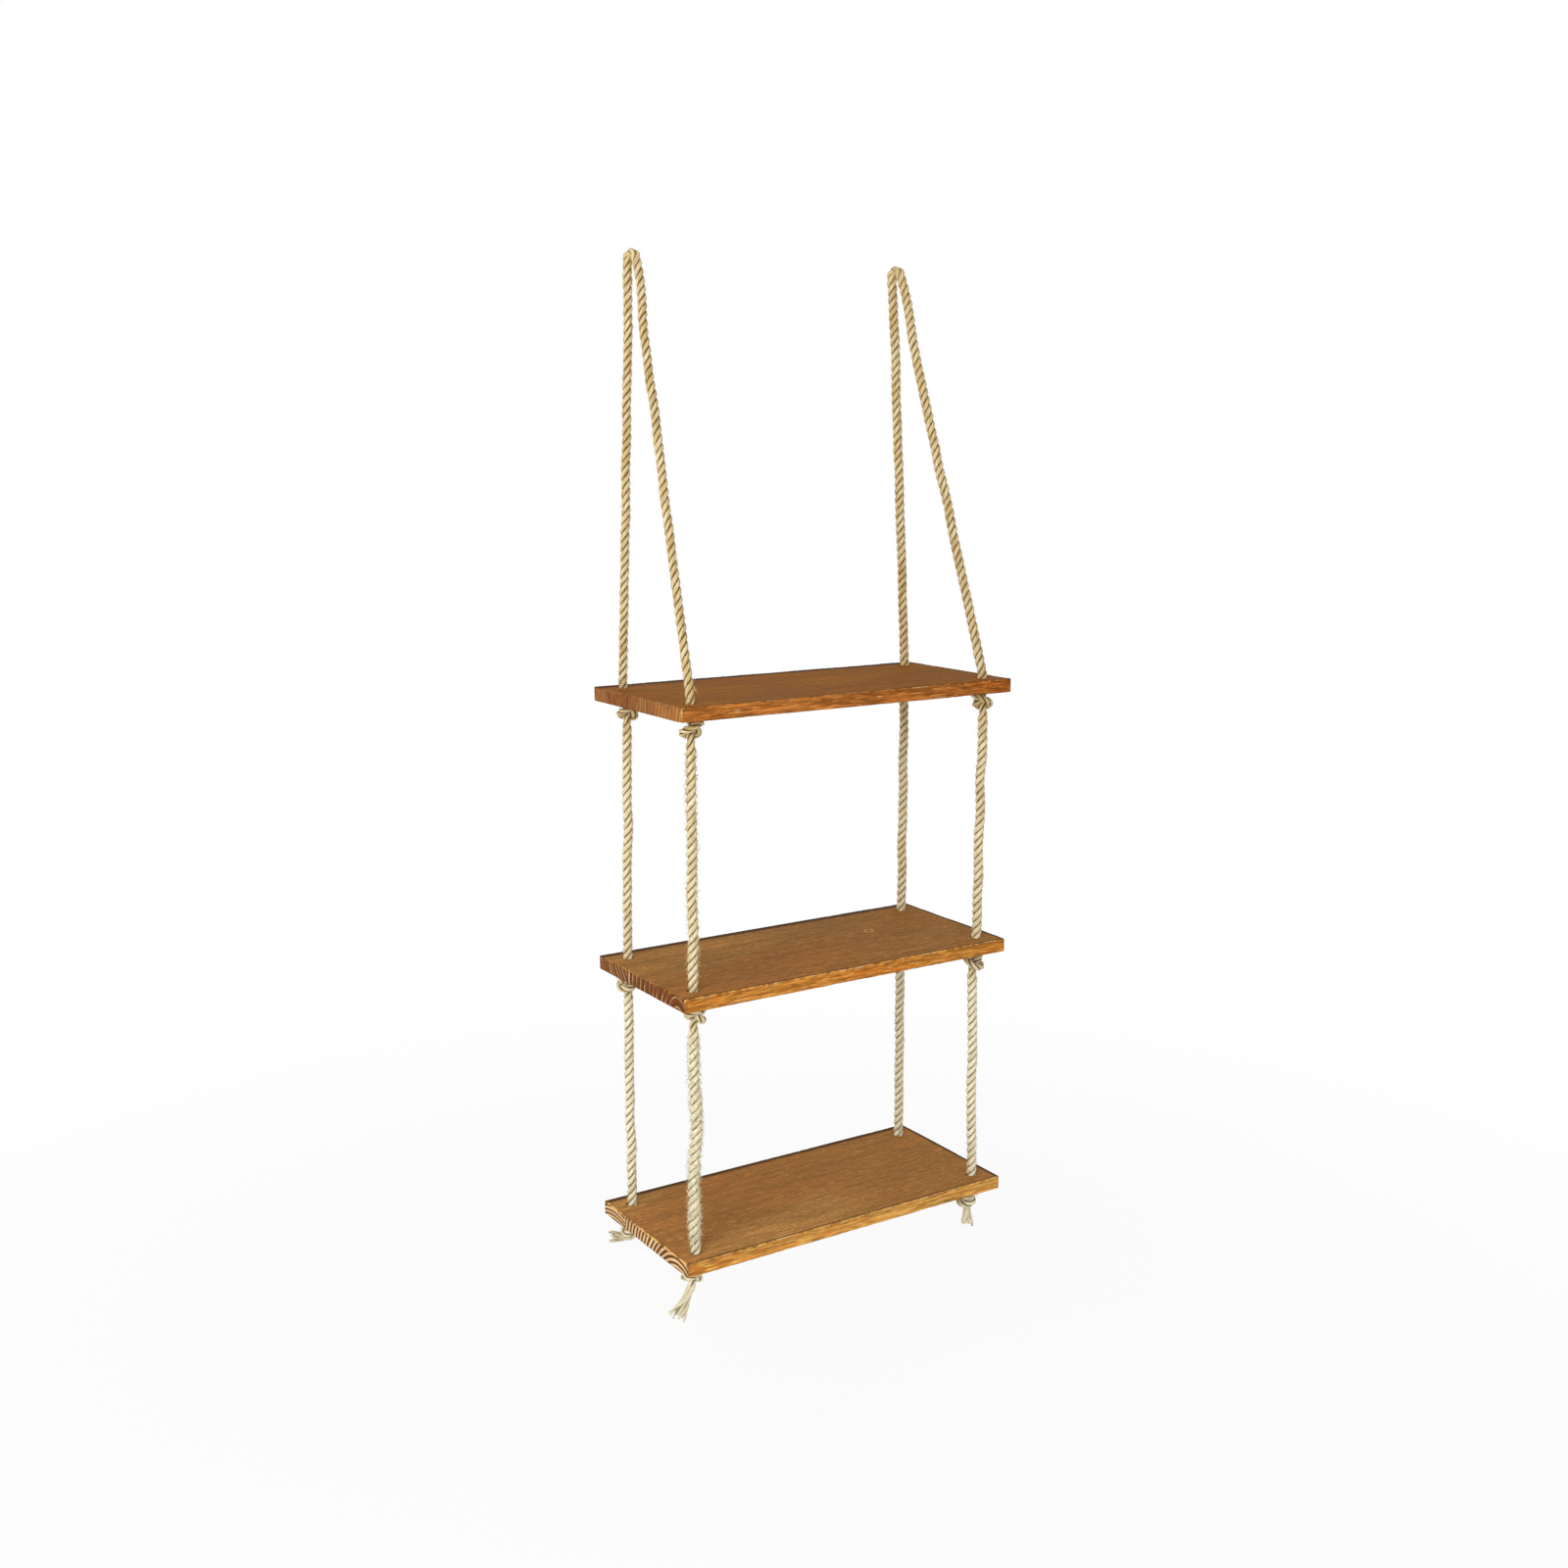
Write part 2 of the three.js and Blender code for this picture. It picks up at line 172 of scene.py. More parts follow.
# Frayed ends under the bottom board: length, half the width, and how far each leans
TAILS = {
    "rear_left": {"length": 32 * MM, "flare": 6 * MM, "side": -112, "forward": 10},
    "front_left": {"length": 36 * MM, "flare": 10 * MM, "side": -44, "forward": 6},
    "front_right": {"length": 20 * MM, "flare": 6 * MM, "side": -10, "forward": 4},
    "rear_right": {"length": 20 * MM, "flare": 6 * MM, "side": 12, "forward": -8},
}
TAIL_RADIUS = 4.9 * MM
TAIL_LAY = 110 * MM  # their strands hardly wind any more
TAIL_RINGS = 30
TAIL_OPENING = 0.3  # the share of its length after which an end opens
TAIL_BEND = 4 * MM  # how far below its knot an end turns aside
HALF_TURN = math.radians(29)  # between a strand and each of the two halves that it frays into
YARN_RADIUS = 1.05 * MM
YARN_SIDES = 7
YARN_FIBRES = 5
YARN_FIBRE_LENGTHS = (3 * MM, 7 * MM)
STRAND_OFFSET = 2.3 * MM  # from the end's middle to a strand's, and from there to a yarn's
YARN_OFFSET = 1.6 * MM
SHORTEST_YARN = 26  # rings of the end's 30

# A board is glued up from staves. A stave starts at some distance from the board's front edge, and
# the heart of its tree lies so far behind that edge and above the underside, with rings so far apart
Stave = collections.namedtuple("Stave", "start back up ring")
STAVES = {
    "top": (
        Stave(0 * MM, -140 * MM, -35 * MM, 7 * MM),
        Stave(66 * MM, 300 * MM, 25 * MM, 6.2 * MM),
        Stave(131 * MM, -60 * MM, 90 * MM, 5.5 * MM),
    ),
    "middle": (
        Stave(0 * MM, 15 * MM, -6 * MM, 9 * MM),
        Stave(118 * MM, -20 * MM, 110 * MM, 7 * MM),
    ),
    "bottom": (
        Stave(0 * MM, 22 * MM, -30 * MM, 6.2 * MM),
        Stave(142 * MM, 165 * MM, -75 * MM, 4.6 * MM),
    ),
}
RING_TAPER = 0.05  # how much a tree narrows per length of its trunk
RING_CHANGE = {"top": 1.6, "middle": 1.0, "bottom": 0.45}  # how unlike each other the years are
END_RING_SHARE = {"top": 0.3, "middle": 0.2, "bottom": 0.5}  # of a ring that is pale where it is cut across
END_CONTRAST = {"top": 0.25, "middle": 0.6, "bottom": 1.0}
END_FADING = {"top": 0.95, "middle": 0.85, "bottom": 0.25}  # how far the pale rings come and go
END_PATCHES = {"top": 80, "middle": 34, "bottom": 34}  # places per metre where they do
STAIN_DEPTH = 0.7 * MM  # how deep the stain of the edges and ends reaches
# Painted shade: the width of a dark strip on the top face
REAR_SHADE_STRIP = {"top": 15 * MM, "middle": 11 * MM, "bottom": 8 * MM}  # along the rear arris
BRUISE = (99 * MM, -56 * MM)  # on the middle board
JOINT = 121 * MM  # from the middle board's front, a glue joint that shows on its end
# How strongly pale lines of worn stain and painted highlight show along the front top, left top and front
# left arris, with painted shade where they break
ARRIS_LINES = {"top": (0.2, 0.15, 0.3), "middle": (0.6, 0.25, 0.9), "bottom": (0.4, 0.85, 0.8)}

# Noise in the wood: features per metre along x, y and z, how each board's shift acts on x and y,
# detail and roughness
Grain = collections.namedtuple("Grain", "x y z on_x on_y detail roughness", defaults=(0, 0, 2.0, 0.5))
GRAINS = {
    "broad": Grain(8, 100, 110, 1, 0, 3.0),
    "long_streak": Grain(17, 300, 330, 1, 0, 4.0, 0.6),
    "fine_streak": Grain(60, 760, 900, 1),
    "pores": Grain(90, 1500, 1500, 1),
    "cloud": Grain(7, 13, 13, 1, 0, 3.0),
    "blush": Grain(5, 9, 9, -1),
    "mottle": Grain(180, 320, 320, 0, 1, 3.0),
    "strokes": Grain(75, 420, 420, -1),
    "thin": Grain(45, 620, 620, 1, 0, 3.0),
    "flecks": Grain(60, 420, 420, -1),
    "specks": Grain(500, 700, 700, 0, 1),
    "ragged": Grain(320, 700, 900, 0, 0, 3.0),
    "broken": Grain(130, 130, 60, 0, 1, 3.0),
}
# Coats of stain: the noise that lets each in from one value to another, its strength, and how light it is
Coat = collections.namedtuple("Coat", "grain low high strength light")
FACE_COATS = (
    Coat("broad", 0.46, 0.62, 0.5, 0.6),
    Coat("long_streak", 0.5, 0.66, 0.5, 0.48),
    Coat("fine_streak", 0.52, 0.7, 0.5, 1.9),
    Coat("pores", 0.6, 0.72, 0.45, 0.3),
    Coat("mottle", 0.42, 0.62, 0.5, 0.6),
    Coat("strokes", 0.58, 0.7, 0.4, 0.42),
)
FRONT_COATS = (
    Coat("broad", 0.5, 0.64, 0.5, 0.46),
    Coat("fine_streak", 0.5, 0.68, 0.6, 2.1),
    Coat("thin", 0.53, 0.64, 0.7, 0.32),
)
END_COATS = (Coat("specks", 0.55, 0.7, 0.5, 0.4),)
STAINS = {
    "top": {"face": 0x9B611C, "front": 0xAE6A2E, "end": 0x9B6534},
    "middle": {"face": 0xAE7C42, "front": 0xCE873A, "end": 0x754725},
    "bottom": {"face": 0xB7854A, "front": 0xDD9C4E, "end": 0x96643A},
}
BUMP_DEPTH = 0.25 * MM

# Boards: how they are drilled and rounded, and where they are cut across to give points to wear
DRILL_SIDES = 40
BEVEL_SEGMENTS = 3
SHARP_ANGLE = math.radians(40)
SMOOTH_ANGLE = math.radians(35)
CUT_INSETS = (1.6 * MM, 4 * MM)  # from each of the six sides
CUTS_ALONG = 2.8 * MM
CUTS_ACROSS = 6.5 * MM
WELD_DISTANCE = 0.02 * MM
ARRIS_REACH = 2.6 * MM  # the sum of a point's distances to two sides, up to which it can wear
SIDE_REACH = 3 * MM  # how near to a side the points that belong to it lie
FLAT_DEPTH = 0.3 * MM  # how near to one side, and how far from the next, a point of a flat face lies
FLAT_INSET = 2 * MM


def linear(code):
    """A colour written as 0xRRGGBB, as the linear values that shaders take."""
    parts = [((code >> shift) & 255) / 255 for shift in (16, 8, 0)]
    return [part / 12.92 if part <= 0.04045 else ((part + 0.055) / 1.055) ** 2.4 for part in parts]


def colour_property(name, description, code):
    return bpy.props.FloatVectorProperty(
        name=name, description=description, default=linear(code), subtype="COLOR", min=0, max=1
    )


def number_property(name, description, default, **settings):
    return bpy.props.FloatProperty(name=name, description=description, default=default, **settings)


def length_property(name, description, default):
    return number_property(name, description, default, min=0, unit="LENGTH", precision=5)


def angle_property(name, description, degrees):
    return number_property(name, description, math.radians(degrees), subtype="ANGLE")


def place_property(name, description, default):
    return bpy.props.FloatVectorProperty(
        name=name, description=description, default=default, subtype="TRANSLATION", unit="LENGTH"
    )


class BoardSettings(bpy.types.PropertyGroup):
    """Sizes and colours of the boards"""

    rounding: length_property("Rounding", "Radius of the arrises and hole rims", 0.8 * MM)
    wear: length_property("Wear", "Depth of the chips along the arrises", 0.8 * MM)
    unevenness: length_property("Unevenness", "How far the planed faces depart from flat", 0.12 * MM)
    hole: length_property("Hole", "Diameter of the rope holes", 13 * MM)
    bare: colour_property("Bare wood", "Wood where the stain has chipped away", 0xD9B57C)
    pale_ring: colour_property("Pale rings", "Rings that stand out pale on the end grain", 0xE8C795)


for tier, stains in STAINS.items():
    for part, code in stains.items():
        stain = colour_property(f"{tier} {part}".capitalize(), f"Stain on the {tier} board's {part}", code)
        BoardSettings.__annotations__[f"{tier}_{part}"] = stain


class RopeSettings(bpy.types.PropertyGroup):
    """Sizes and colours of the ropes"""

    lay: length_property("Lay", "Length of rope in which a strand goes round once", 28 * MM)
    knot_rope: length_property("Knot rope", "Rope diameter that sets a knot's size", 7.176 * MM)
    in_knot: length_property("Rope in knot", "Diameter of the rope inside a knot", 8.2 * MM)
    fibre: length_property("Fibre", "Thickness of a stray fibre", 0.17 * MM)
    fibre_length: length_property("Fibre length", "Longest stray fibre", 9 * MM)
    fresh: colour_property("Fresh fibre", "The palest yarns", 0xF9EECD)
    hanger_colour: colour_property("Hanging rope", "Fibre of the upper ropes", 0xC7A868)
    middle_colour: colour_property("Middle rope", "Fibre of the middle ropes", 0xD9C89A)
    bottom_colour: colour_property("Bottom rope", "Fibre of the lowest ropes", 0xEAE3C4)


class StageSettings(bpy.types.PropertyGroup):
    """Camera, floor and light"""

    camera_place: place_property("Camera", "Where the camera stands", (-1.0438, -1.6426, -0.1974))
    camera_turn: angle_property("Turn", "How far the camera turns right from looking at the wall", 32.87)
    camera_dip: angle_property("Dip", "How far the camera looks down", 10.82)
    lens: number_property("Lens", "Focal length", 39.8, min=1, unit="CAMERA")
    floor_drop: length_property("Floor drop", "From the shelf's lowest end to the floor", 0.25)
    floor_size: length_property("Floor size", "Width of the floor", 12)
    floor_colour: colour_property("Floor", "Colour of the floor", 0xF7F7F6)
    ambient: number_property("Ambient", "Light from all around", 0.6, min=0)
    key_power: number_property("Key light", "Power of the lamp at the front", 42, min=0, unit="POWER")
    key_place: place_property("Key place", "Where the lamp hangs", (-1.95, -1.5, 0.2))
    key_size: length_property("Key size", "Width of the lamp", 1.5)


class Wire:
    """A number that comes out of a socket. Sums and products with it become Math nodes."""

    def __init__(self, shader, socket):
        self.shader = shader
        self.socket = socket


def maths(operation, reflected=False):
    """A method of Wire that sends it, and the other number if there is one, to a Math node."""

    def method(self, *others):
        inputs = (*others, self) if reflected else (self, *others)
        return self.shader.add("ShaderNodeMath", {"operation": operation}, dict(enumerate(inputs)))

    return method


for name, operation in (("add", "ADD"), ("sub", "SUBTRACT"), ("mul", "MULTIPLY")):
    setattr(Wire, f"__{name}__", maths(operation))
    setattr(Wire, f"__r{name}__", maths(operation, reflected=True))
Wire.__truediv__ = maths("DIVIDE")
Wire.__pow__ = maths("POWER")
Wire.__abs__ = maths("ABSOLUTE")
Wire.most = maths("MAXIMUM")
Wire.past_whole = maths("FRACT")


class Shader:
    """The node tree of a material or of the world."""

    def __init__(self, tree):
        self.tree = tree

    def add(self, kind, settings=None, sockets=None, output=0):
        """Adds a node with its settings and the values or links of its sockets."""
        node = self.tree.nodes.new(kind)
        for key, value in (settings or {}).items():
            setattr(node, key, value)
        for key, value in (sockets or {}).items():
            self.put(node.inputs[key], value)
        return Wire(self, node.outputs[output]) if node.outputs else node

    def put(self, socket, value):
        if isinstance(value, Wire):
            self.tree.links.new(value.socket, socket)
        elif isinstance(value, (int, float)):
            socket.default_value = value
        else:
            size = len(socket.default_value)
            socket.default_value = (list(value) + [1.0])[:size]

    def place(self):
        """The object's own X, Y and Z, in metres."""
        return self.apart(self.add("ShaderNodeTexCoord", output="Object"))

    def apart(self, vector):
        split = self.add("ShaderNodeSeparateXYZ", sockets={"Vector": vector}).socket.node
        return [Wire(self, output) for output in split.outputs]

    def attribute(self, name, output="Fac"):
        return self.add("ShaderNodeAttribute", {"attribute_name": name}, output=output)

    def noise(self, x, y, z, detail=2.0, roughness=0.5):
        """Noise from 0 to 1, with features one unit wide."""
        vector = self.add("ShaderNodeCombineXYZ", sockets={"X": x, "Y": y, "Z": z})
        sockets = {"Vector": vector, "Scale": 1.0, "Detail": detail, "Roughness": roughness}
        return self.add("ShaderNodeTexNoise", sockets=sockets)

    def ease(self, value, low, high, start=0.0, end=1.0):
        """Goes smoothly from start to end while the value goes from low to high."""
        settings = {"interpolation_type": "SMOOTHSTEP"}
        sockets = {"Value": value, "From Min": low, "From Max": high, "To Min": start, "To Max": end}
        return self.add("ShaderNodeMapRange", settings, sockets)

    def mix(self, factor, first, second, blend="MIX"):
        """Mixes two colours."""
        node = self.add("ShaderNodeMix", {"data_type": "RGBA", "blend_type": blend}).socket.node
        sockets = {socket.identifier: socket for socket in (*node.inputs, *node.outputs)}
        for key, value in (("Factor_Float", factor), ("A_Color", first), ("B_Color", second)):
            self.put(sockets[key], value)
        return Wire(self, sockets["Result_Color"])

    def finish(self, surface, colour, roughness, height, bump, gloss):
        """Links what changes over a surface, and sets how glossy it is."""
        sockets = {"Strength": bump, "Distance": BUMP_DEPTH, "Height": height}
        self.put(surface.inputs["Base Color"], colour)
        self.put(surface.inputs["Roughness"], roughness)
        self.put(surface.inputs["Normal"], self.add("ShaderNodeBump", sockets=sockets))
        surface.inputs["Specular IOR Level"].default_value = gloss


def new_material(name):
    """A surface material: its shader and its Principled node."""
    material = bpy.data.materials.new(name)
    material.use_nodes = True
    return material, Shader(material.node_tree), material.node_tree.nodes["Principled BSDF"]


def shade(colour, *shares):
    """The same colour, lighter or darker, by one share or by one each for red, green and blue."""
    return [min(1.0, part * share) for part, share in zip(colour, shares * 3)]


@functools.cache
def board_box(tier):
    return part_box(f"{tier}_board")


def underside(tier):
    return board_box(tier)[0].z


def growth_rings(shader, tier, place):
    """How far each point of a board lies through its growth ring, from 0 to 1."""
    x, y, z = place
    low, _ = board_box(tier)
    within = shader.ease(x, low.x, low.x + 120 * MM)
    bend = (shader.noise(x * 3.2, y * 7, z * 7, detail=3.0) - 0.5) * within * (52 * MM)
    waver = (shader.noise(x * 12, y * 46, z * 46) - 0.5) * (3 * MM)
    rings = None
    for stave in STAVES[tier]:
        across = y - (low.y + stave.back) + bend
        up = z - (low.z + stave.up) + bend * 0.6
        radius = (across * across + up * up) ** 0.5 + waver + x * RING_TAPER
        count = radius / stave.ring
        uneven_years = shader.noise(count * 0.6 + stave.start * 90, 0.0, 0.0, detail=1.0) - 0.5
        share = (count + uneven_years * RING_CHANGE[tier]).past_whole()
        if rings is None:
            rings = share
        else:
            start = low.y + stave.start
            inside = shader.ease(y, start - 0.2 * MM, start + 0.2 * MM)
            rings = rings + inside * (share - rings)
    return rings


def stained(shader, colour, grain, stain, coats):
    """Lays coats of a stain over a colour."""
    for coat in coats:
        mask = shader.ease(getattr(grain, coat.grain), coat.low, coat.high)
        colour = shader.mix(mask * coat.strength, colour, shade(stain, coat.light))
    return colour


def face_colour(shader, tier, place, grain, late, face):
    """Dull brown, redder in places, darker to the right by painted shade, with low contrast."""
    x, y, _ = place
    tone = shader.mix(shader.ease(grain.cloud, 0.36, 0.66), shade(face, 0.84), shade(face, 1.34))
    tone = shader.mix(shader.ease(grain.blush, 0.44, 0.6) * 0.75, tone, shade(face, 1.06, 0.78, 0.66))
    # Painted shade: darker to the right, away from the lamp
    tone = shader.mix(shader.ease(x, -30 * MM, 150 * MM) * 0.5, tone, shade(face, 0.8))
    tone = shader.mix(late * 0.22, tone, shade(face, 0.56))
    tone = stained(shader, tone, grain, face, FACE_COATS)
    if tier == "middle":
        from_bruise = ((x - BRUISE[0]) ** 2 + (y - BRUISE[1]) ** 2) ** 0.5
        ring = shader.ease(abs(from_bruise - 4.6 * MM), 2.2 * MM, 0.8 * MM)
        ring = ring * shader.ease(grain.mottle, 0.2, 0.5)
        tone = shader.mix(ring * 0.65, tone, shade(face, 1.9))
        tone = shader.mix(shader.ease(from_bruise, 3 * MM, 1.2 * MM) * 0.7, tone, shade(face, 0.3))
    return tone


def edge_colour(shader, grain, late, front, bare):
    """Warmer than the face, with streaks like flames along the edge."""
    warm = shader.mix(shader.ease(grain.long_streak, 0.38, 0.62), shade(front, 1.3), shade(front, 0.66))
    warm = shader.mix(shader.ease(grain.cloud, 0.42, 0.66) * 0.75, warm, shade(front, 0.8, 0.55, 0.34))
    warm = shader.mix(late * 0.35, warm, shade(front, 0.4))
    warm = stained(shader, warm, grain, front, FRONT_COATS)
    return shader.mix(shader.ease(grain.flecks, 0.62, 0.74) * 0.6, warm, bare)


def end_colour(shader, tier, place, grain, rings, seed, stains, pale):
    """The rings cut across, dark with pale lines between them."""
    x, y, z = place
    low, high = board_box(tier)
    _, front, end = stains
    share, contrast = END_RING_SHARE[tier], END_CONTRAST[tier]
    patches = shader.noise(x * 9, y * END_PATCHES[tier] + seed, z * 50)
    kept = 1.0 - shader.ease(patches, 0.56, 0.4) * END_FADING[tier]
    pale_ring = shader.ease(rings, 0.96 - share, 1.06 - share) * shader.ease(rings, 1.0, 0.94) * kept
    dark_ring = shader.ease(rings, 0.0, 0.1) * shader.ease(rings, 0.6, 0.1)
    cut = shader.mix(shader.ease(grain.cloud, 0.36, 0.62), shade(end, 0.7), shade(end, 1.3))
    cut = shader.mix(shader.ease(grain.blush, 0.46, 0.66) * 0.6, cut, shade(end, 1, 0.62, 0.5))
    if tier == "top":
        rear_half = shader.ease(y, low.y + 50 * MM, low.y + 110 * MM)
        red_part = shader.ease(y, high.y - 100 * MM, high.y - 70 * MM)
        red_part = red_part * shader.ease(y, high.y - 15 * MM, high.y - 40 * MM)
        near_front = shader.ease(y, low.y + 26 * MM, low.y + 8 * MM)
        cut = shader.mix(rear_half * 0.5, cut, shade(end, 0.66))
        cut = shader.mix(red_part * shader.ease(patches, 0.36, 0.56), cut, shade(end, 0.6, 0.34, 0.3))
        cut = shader.mix(near_front * 0.5, cut, shade(front, 1.15))
    cut = shader.mix(dark_ring * contrast, cut, shade(end, 0.62 - 0.4 * contrast))
    cut = shader.mix(pale_ring * contrast, cut, pale)
    if tier == "middle":
        from_joint = abs(y - (low.y + JOINT))
        beside = shader.ease(abs(from_joint - 3.4 * MM), 1.8 * MM, 0.8 * MM)
        cut = shader.mix(beside * 0.7, cut, shade(end, 0.4))
        cut = shader.mix(shader.ease(from_joint, 1.5 * MM, 0.7 * MM) * 0.8, cut, pale)
    return stained(shader, cut, grain, end, END_COATS)


def arris_colour(shader, tier, place, grain, colour, stains, bare):
    """Painted shade along the arrises and in dark strips at the rear and right, pale lines of worn stain and
    painted highlight, and painted shade beside them.
    """
    x, y, z = place
    low, high = board_box(tier)
    face, front, _ = stains
    # Painted shade along every arris, strongest along the rear and right top ones
    handled = shader.attribute("handled")
    colour = shader.mix(handled * (1.2 - grain.ragged), colour, shade(face, 0.22))
    # Painted shade: a dark strip on the top face along the rear arris and along the right end
    strip = REAR_SHADE_STRIP[tier]
    dark = shader.ease(y, high.y - 1.3 * strip, high.y - 0.6 * strip)
    dark = dark.most(shader.ease(x, high.x - 6 * MM, high.x - 3 * MM))
    dark = dark * shader.ease(z, high.z - 1.4 * MM, high.z - 0.7 * MM) * shader.ease(grain.mottle, 0.1, 0.4)
    colour = shader.mix(dark * 0.92, colour, shade(face, 0.14))
    broken = shader.ease(grain.broken, 0.44, 0.56)
    worn_highlight = shader.mix(0.35, shade(front, 1.6), bare)
    front_gap, left_gap, top_gap = y - low.y, x - low.x, high.z - z
    gap_sums = (front_gap + top_gap, left_gap + top_gap, front_gap + left_gap)
    for gaps, strength in zip(gap_sums, ARRIS_LINES[tier]):
        # Painted shade beside each arris where its pale line breaks; the pale line itself is worn stain and
        # painted highlight
        shadowed = shader.ease(gaps, 4.2 * MM, 2.6 * MM) * (1.0 - broken) * strength
        colour = shader.mix(shadowed * 0.5, colour, shade(front, 0.3))
        colour = shader.mix(shader.ease(gaps, 2.2 * MM, 0.9 * MM) * broken * strength, colour, worn_highlight)
    # Painted shade: a dark band on the top face just behind the front arris
    margin_shade = shader.ease(front_gap, 4.5 * MM, 2.5 * MM) * shader.ease(front_gap, 0.5 * MM, 1.1 * MM)
    margin_shade = margin_shade * shader.ease(top_gap, 0.8 * MM, 0.3 * MM) * shader.ease(grain.ragged, 0.3, 0.5)
    return shader.mix(margin_shade * 0.8, colour, shade(face, 0.26))


def wood_material(tier, board):
    """Stained softwood: growth rings through the solid, long streaks, pores, and bare chipped arrises."""
    material, shader, surface = new_material(f"{tier}_stained_wood")
    x, y, z = place = shader.place()
    low, high = board_box(tier)
    seed = 7.3 * TIERS.index(tier)
    stains = [list(getattr(board, f"{tier}_{part}")) for part in STAINS[tier]]
    bare, pale = list(board.bare), list(board.pale_ring)
    noises = {
        name: shader.noise(x * own.x + seed * own.on_x, y * own.y + seed * own.on_y, z * own.z, *own[5:])
        for name, own in GRAINS.items()
    }
    grain = types.SimpleNamespace(**noises)
    rings = growth_rings(shader, tier, place)
    late = shader.ease(rings, 0.3, 0.9) * shader.ease(rings, 1.0, 0.93)
    tone = face_colour(shader, tier, place, grain, late, stains[0])
    warm = edge_colour(shader, grain, late, stains[1], bare)
    cut = end_colour(shader, tier, place, grain, rings, seed, stains, pale)

    deep, shallow = STAIN_DEPTH, STAIN_DEPTH * 0.6
    on_edge = shader.ease(y, low.y + deep, low.y + shallow)
    on_edge = on_edge.most(shader.ease(y, high.y - deep, high.y - shallow))
    on_end = shader.ease(abs(x), high.x - deep, high.x - shallow)
    colour = shader.mix(on_edge, tone, warm)
    colour = shader.mix(on_end, colour, cut)
    colour = arris_colour(shader, tier, place, grain, colour, stains, bare)
    chip = shader.ease(shader.attribute("worn") + (grain.ragged - 0.5) * 0.9, 0.46, 0.64)
    colour = shader.mix(chip * 0.85, colour, shader.mix(grain.cloud, bare, pale))
    height = grain.long_streak * 0.6 + grain.fine_streak * 0.4 - late * 0.4 - chip * 0.4
    height = height - shader.ease(grain.pores, 0.6, 0.72)
    shader.finish(surface, colour, 0.6 + grain.cloud * 0.15 + chip * 0.2, height, bump=0.5, gloss=0.04)
    return material


@functools.cache
def rope_finish(tier):
    """Laid fibre: streaks that follow each yarn, painted shade between the strands, paler towards the next
    tier.
    """
    rope = bpy.context.scene.shelf_rope
    number = TIERS.index(tier)
    colours = (rope.hanger_colour, rope.hanger_colour, rope.middle_colour, rope.bottom_colour)
    upper, lower = (list(colour) for colour in colours[number:number + 2])
    above = underside(TIERS[max(0, number - 1)])
    material, shader, surface = new_material(f"{tier}_rope_fibre")
    _, _, z = shader.place()
    along, cosine, sine = shader.apart(shader.attribute("lay", "Vector"))
    yarn = shader.noise(along * 45, cosine * 2.6, sine * 2.6, detail=3.0)
    fibre = shader.noise(along * 160, cosine * 9, sine * 9, detail=3.0, roughness=0.7)
    patch = shader.noise(along * 11, cosine * 0.5, sine * 0.5)
    base = shader.mix(shader.ease(z, above + PALING_START, above - PALING[tier]), upper, lower)
    dark = shader.mix(1.0, base, [0.48, 0.4, 0.28], "MULTIPLY")
    deep = shader.mix(1.0, base, [0.16, 0.11, 0.06], "MULTIPLY")
    light = shader.mix(0.64, base, list(rope.fresh))
    colour = shader.mix(shader.ease(yarn, 0.4, 0.6), light, base)
    colour = shader.mix(shader.ease(fibre, 0.5, 0.68) * 0.75, colour, dark)
    colour = shader.mix(shader.ease(patch, 0.52, 0.7) * 0.4, colour, dark)
    # Painted shade where a point lies near the rope's centre line: in the grooves between the strands and in
    # the frayed strands' cores
    colour = shader.mix(shader.ease(shader.attribute("outward"), 0.84, 0.3) * 0.92, colour, deep)
    shader.finish(surface, colour, 0.8 + fibre * 0.15, fibre, bump=0.6, gloss=0.15)
    surface.inputs["Sheen Weight"].default_value = 0.05
    return material


def unit(vectors):
    lengths = np.linalg.norm(vectors, axis=-1, keepdims=True)
    return vectors / np.maximum(lengths, 1e-12)


def arc_of(points):
    steps = np.linalg.norm(np.diff(points, axis=0), axis=1)
    return np.concatenate([[0.0], np.cumsum(steps)])


def at_lengths(wanted, arc, points):
    """The points at some lengths along a line."""
    return np.stack([np.interp(wanted, arc, points[:, axis]) for axis in range(3)], axis=-1)


def evenly(points, step):
    """The same line with points one step apart."""
    arc = arc_of(points)
    count = max(4, int(round(arc[-1] / step)) + 1)
    return at_lengths(np.linspace(0, arc[-1], count), arc, points)


def smooth_line(points, step, passes):
    """A line through the points with its corners eased."""
    line = evenly(np.asarray(points, float), step / 2)
    for _ in range(passes):
        line[1:-1] = (line[:-2] + 2 * line[1:-1] + line[2:]) / 4
    return evenly(line, step)


def noise_along(arc, scale, *beside):
    """Smooth noise along a line, at a place of its own beside others."""
    return np.array([noise.noise(Vector((length * scale, *beside))) for length in arc])


def noise_at(places, scale, shift):
    """Smooth noise at each place."""
    scaled = places * np.asarray(scale) + np.asarray(shift)
    return np.array([noise.noise(place) for place in scaled.tolist()])


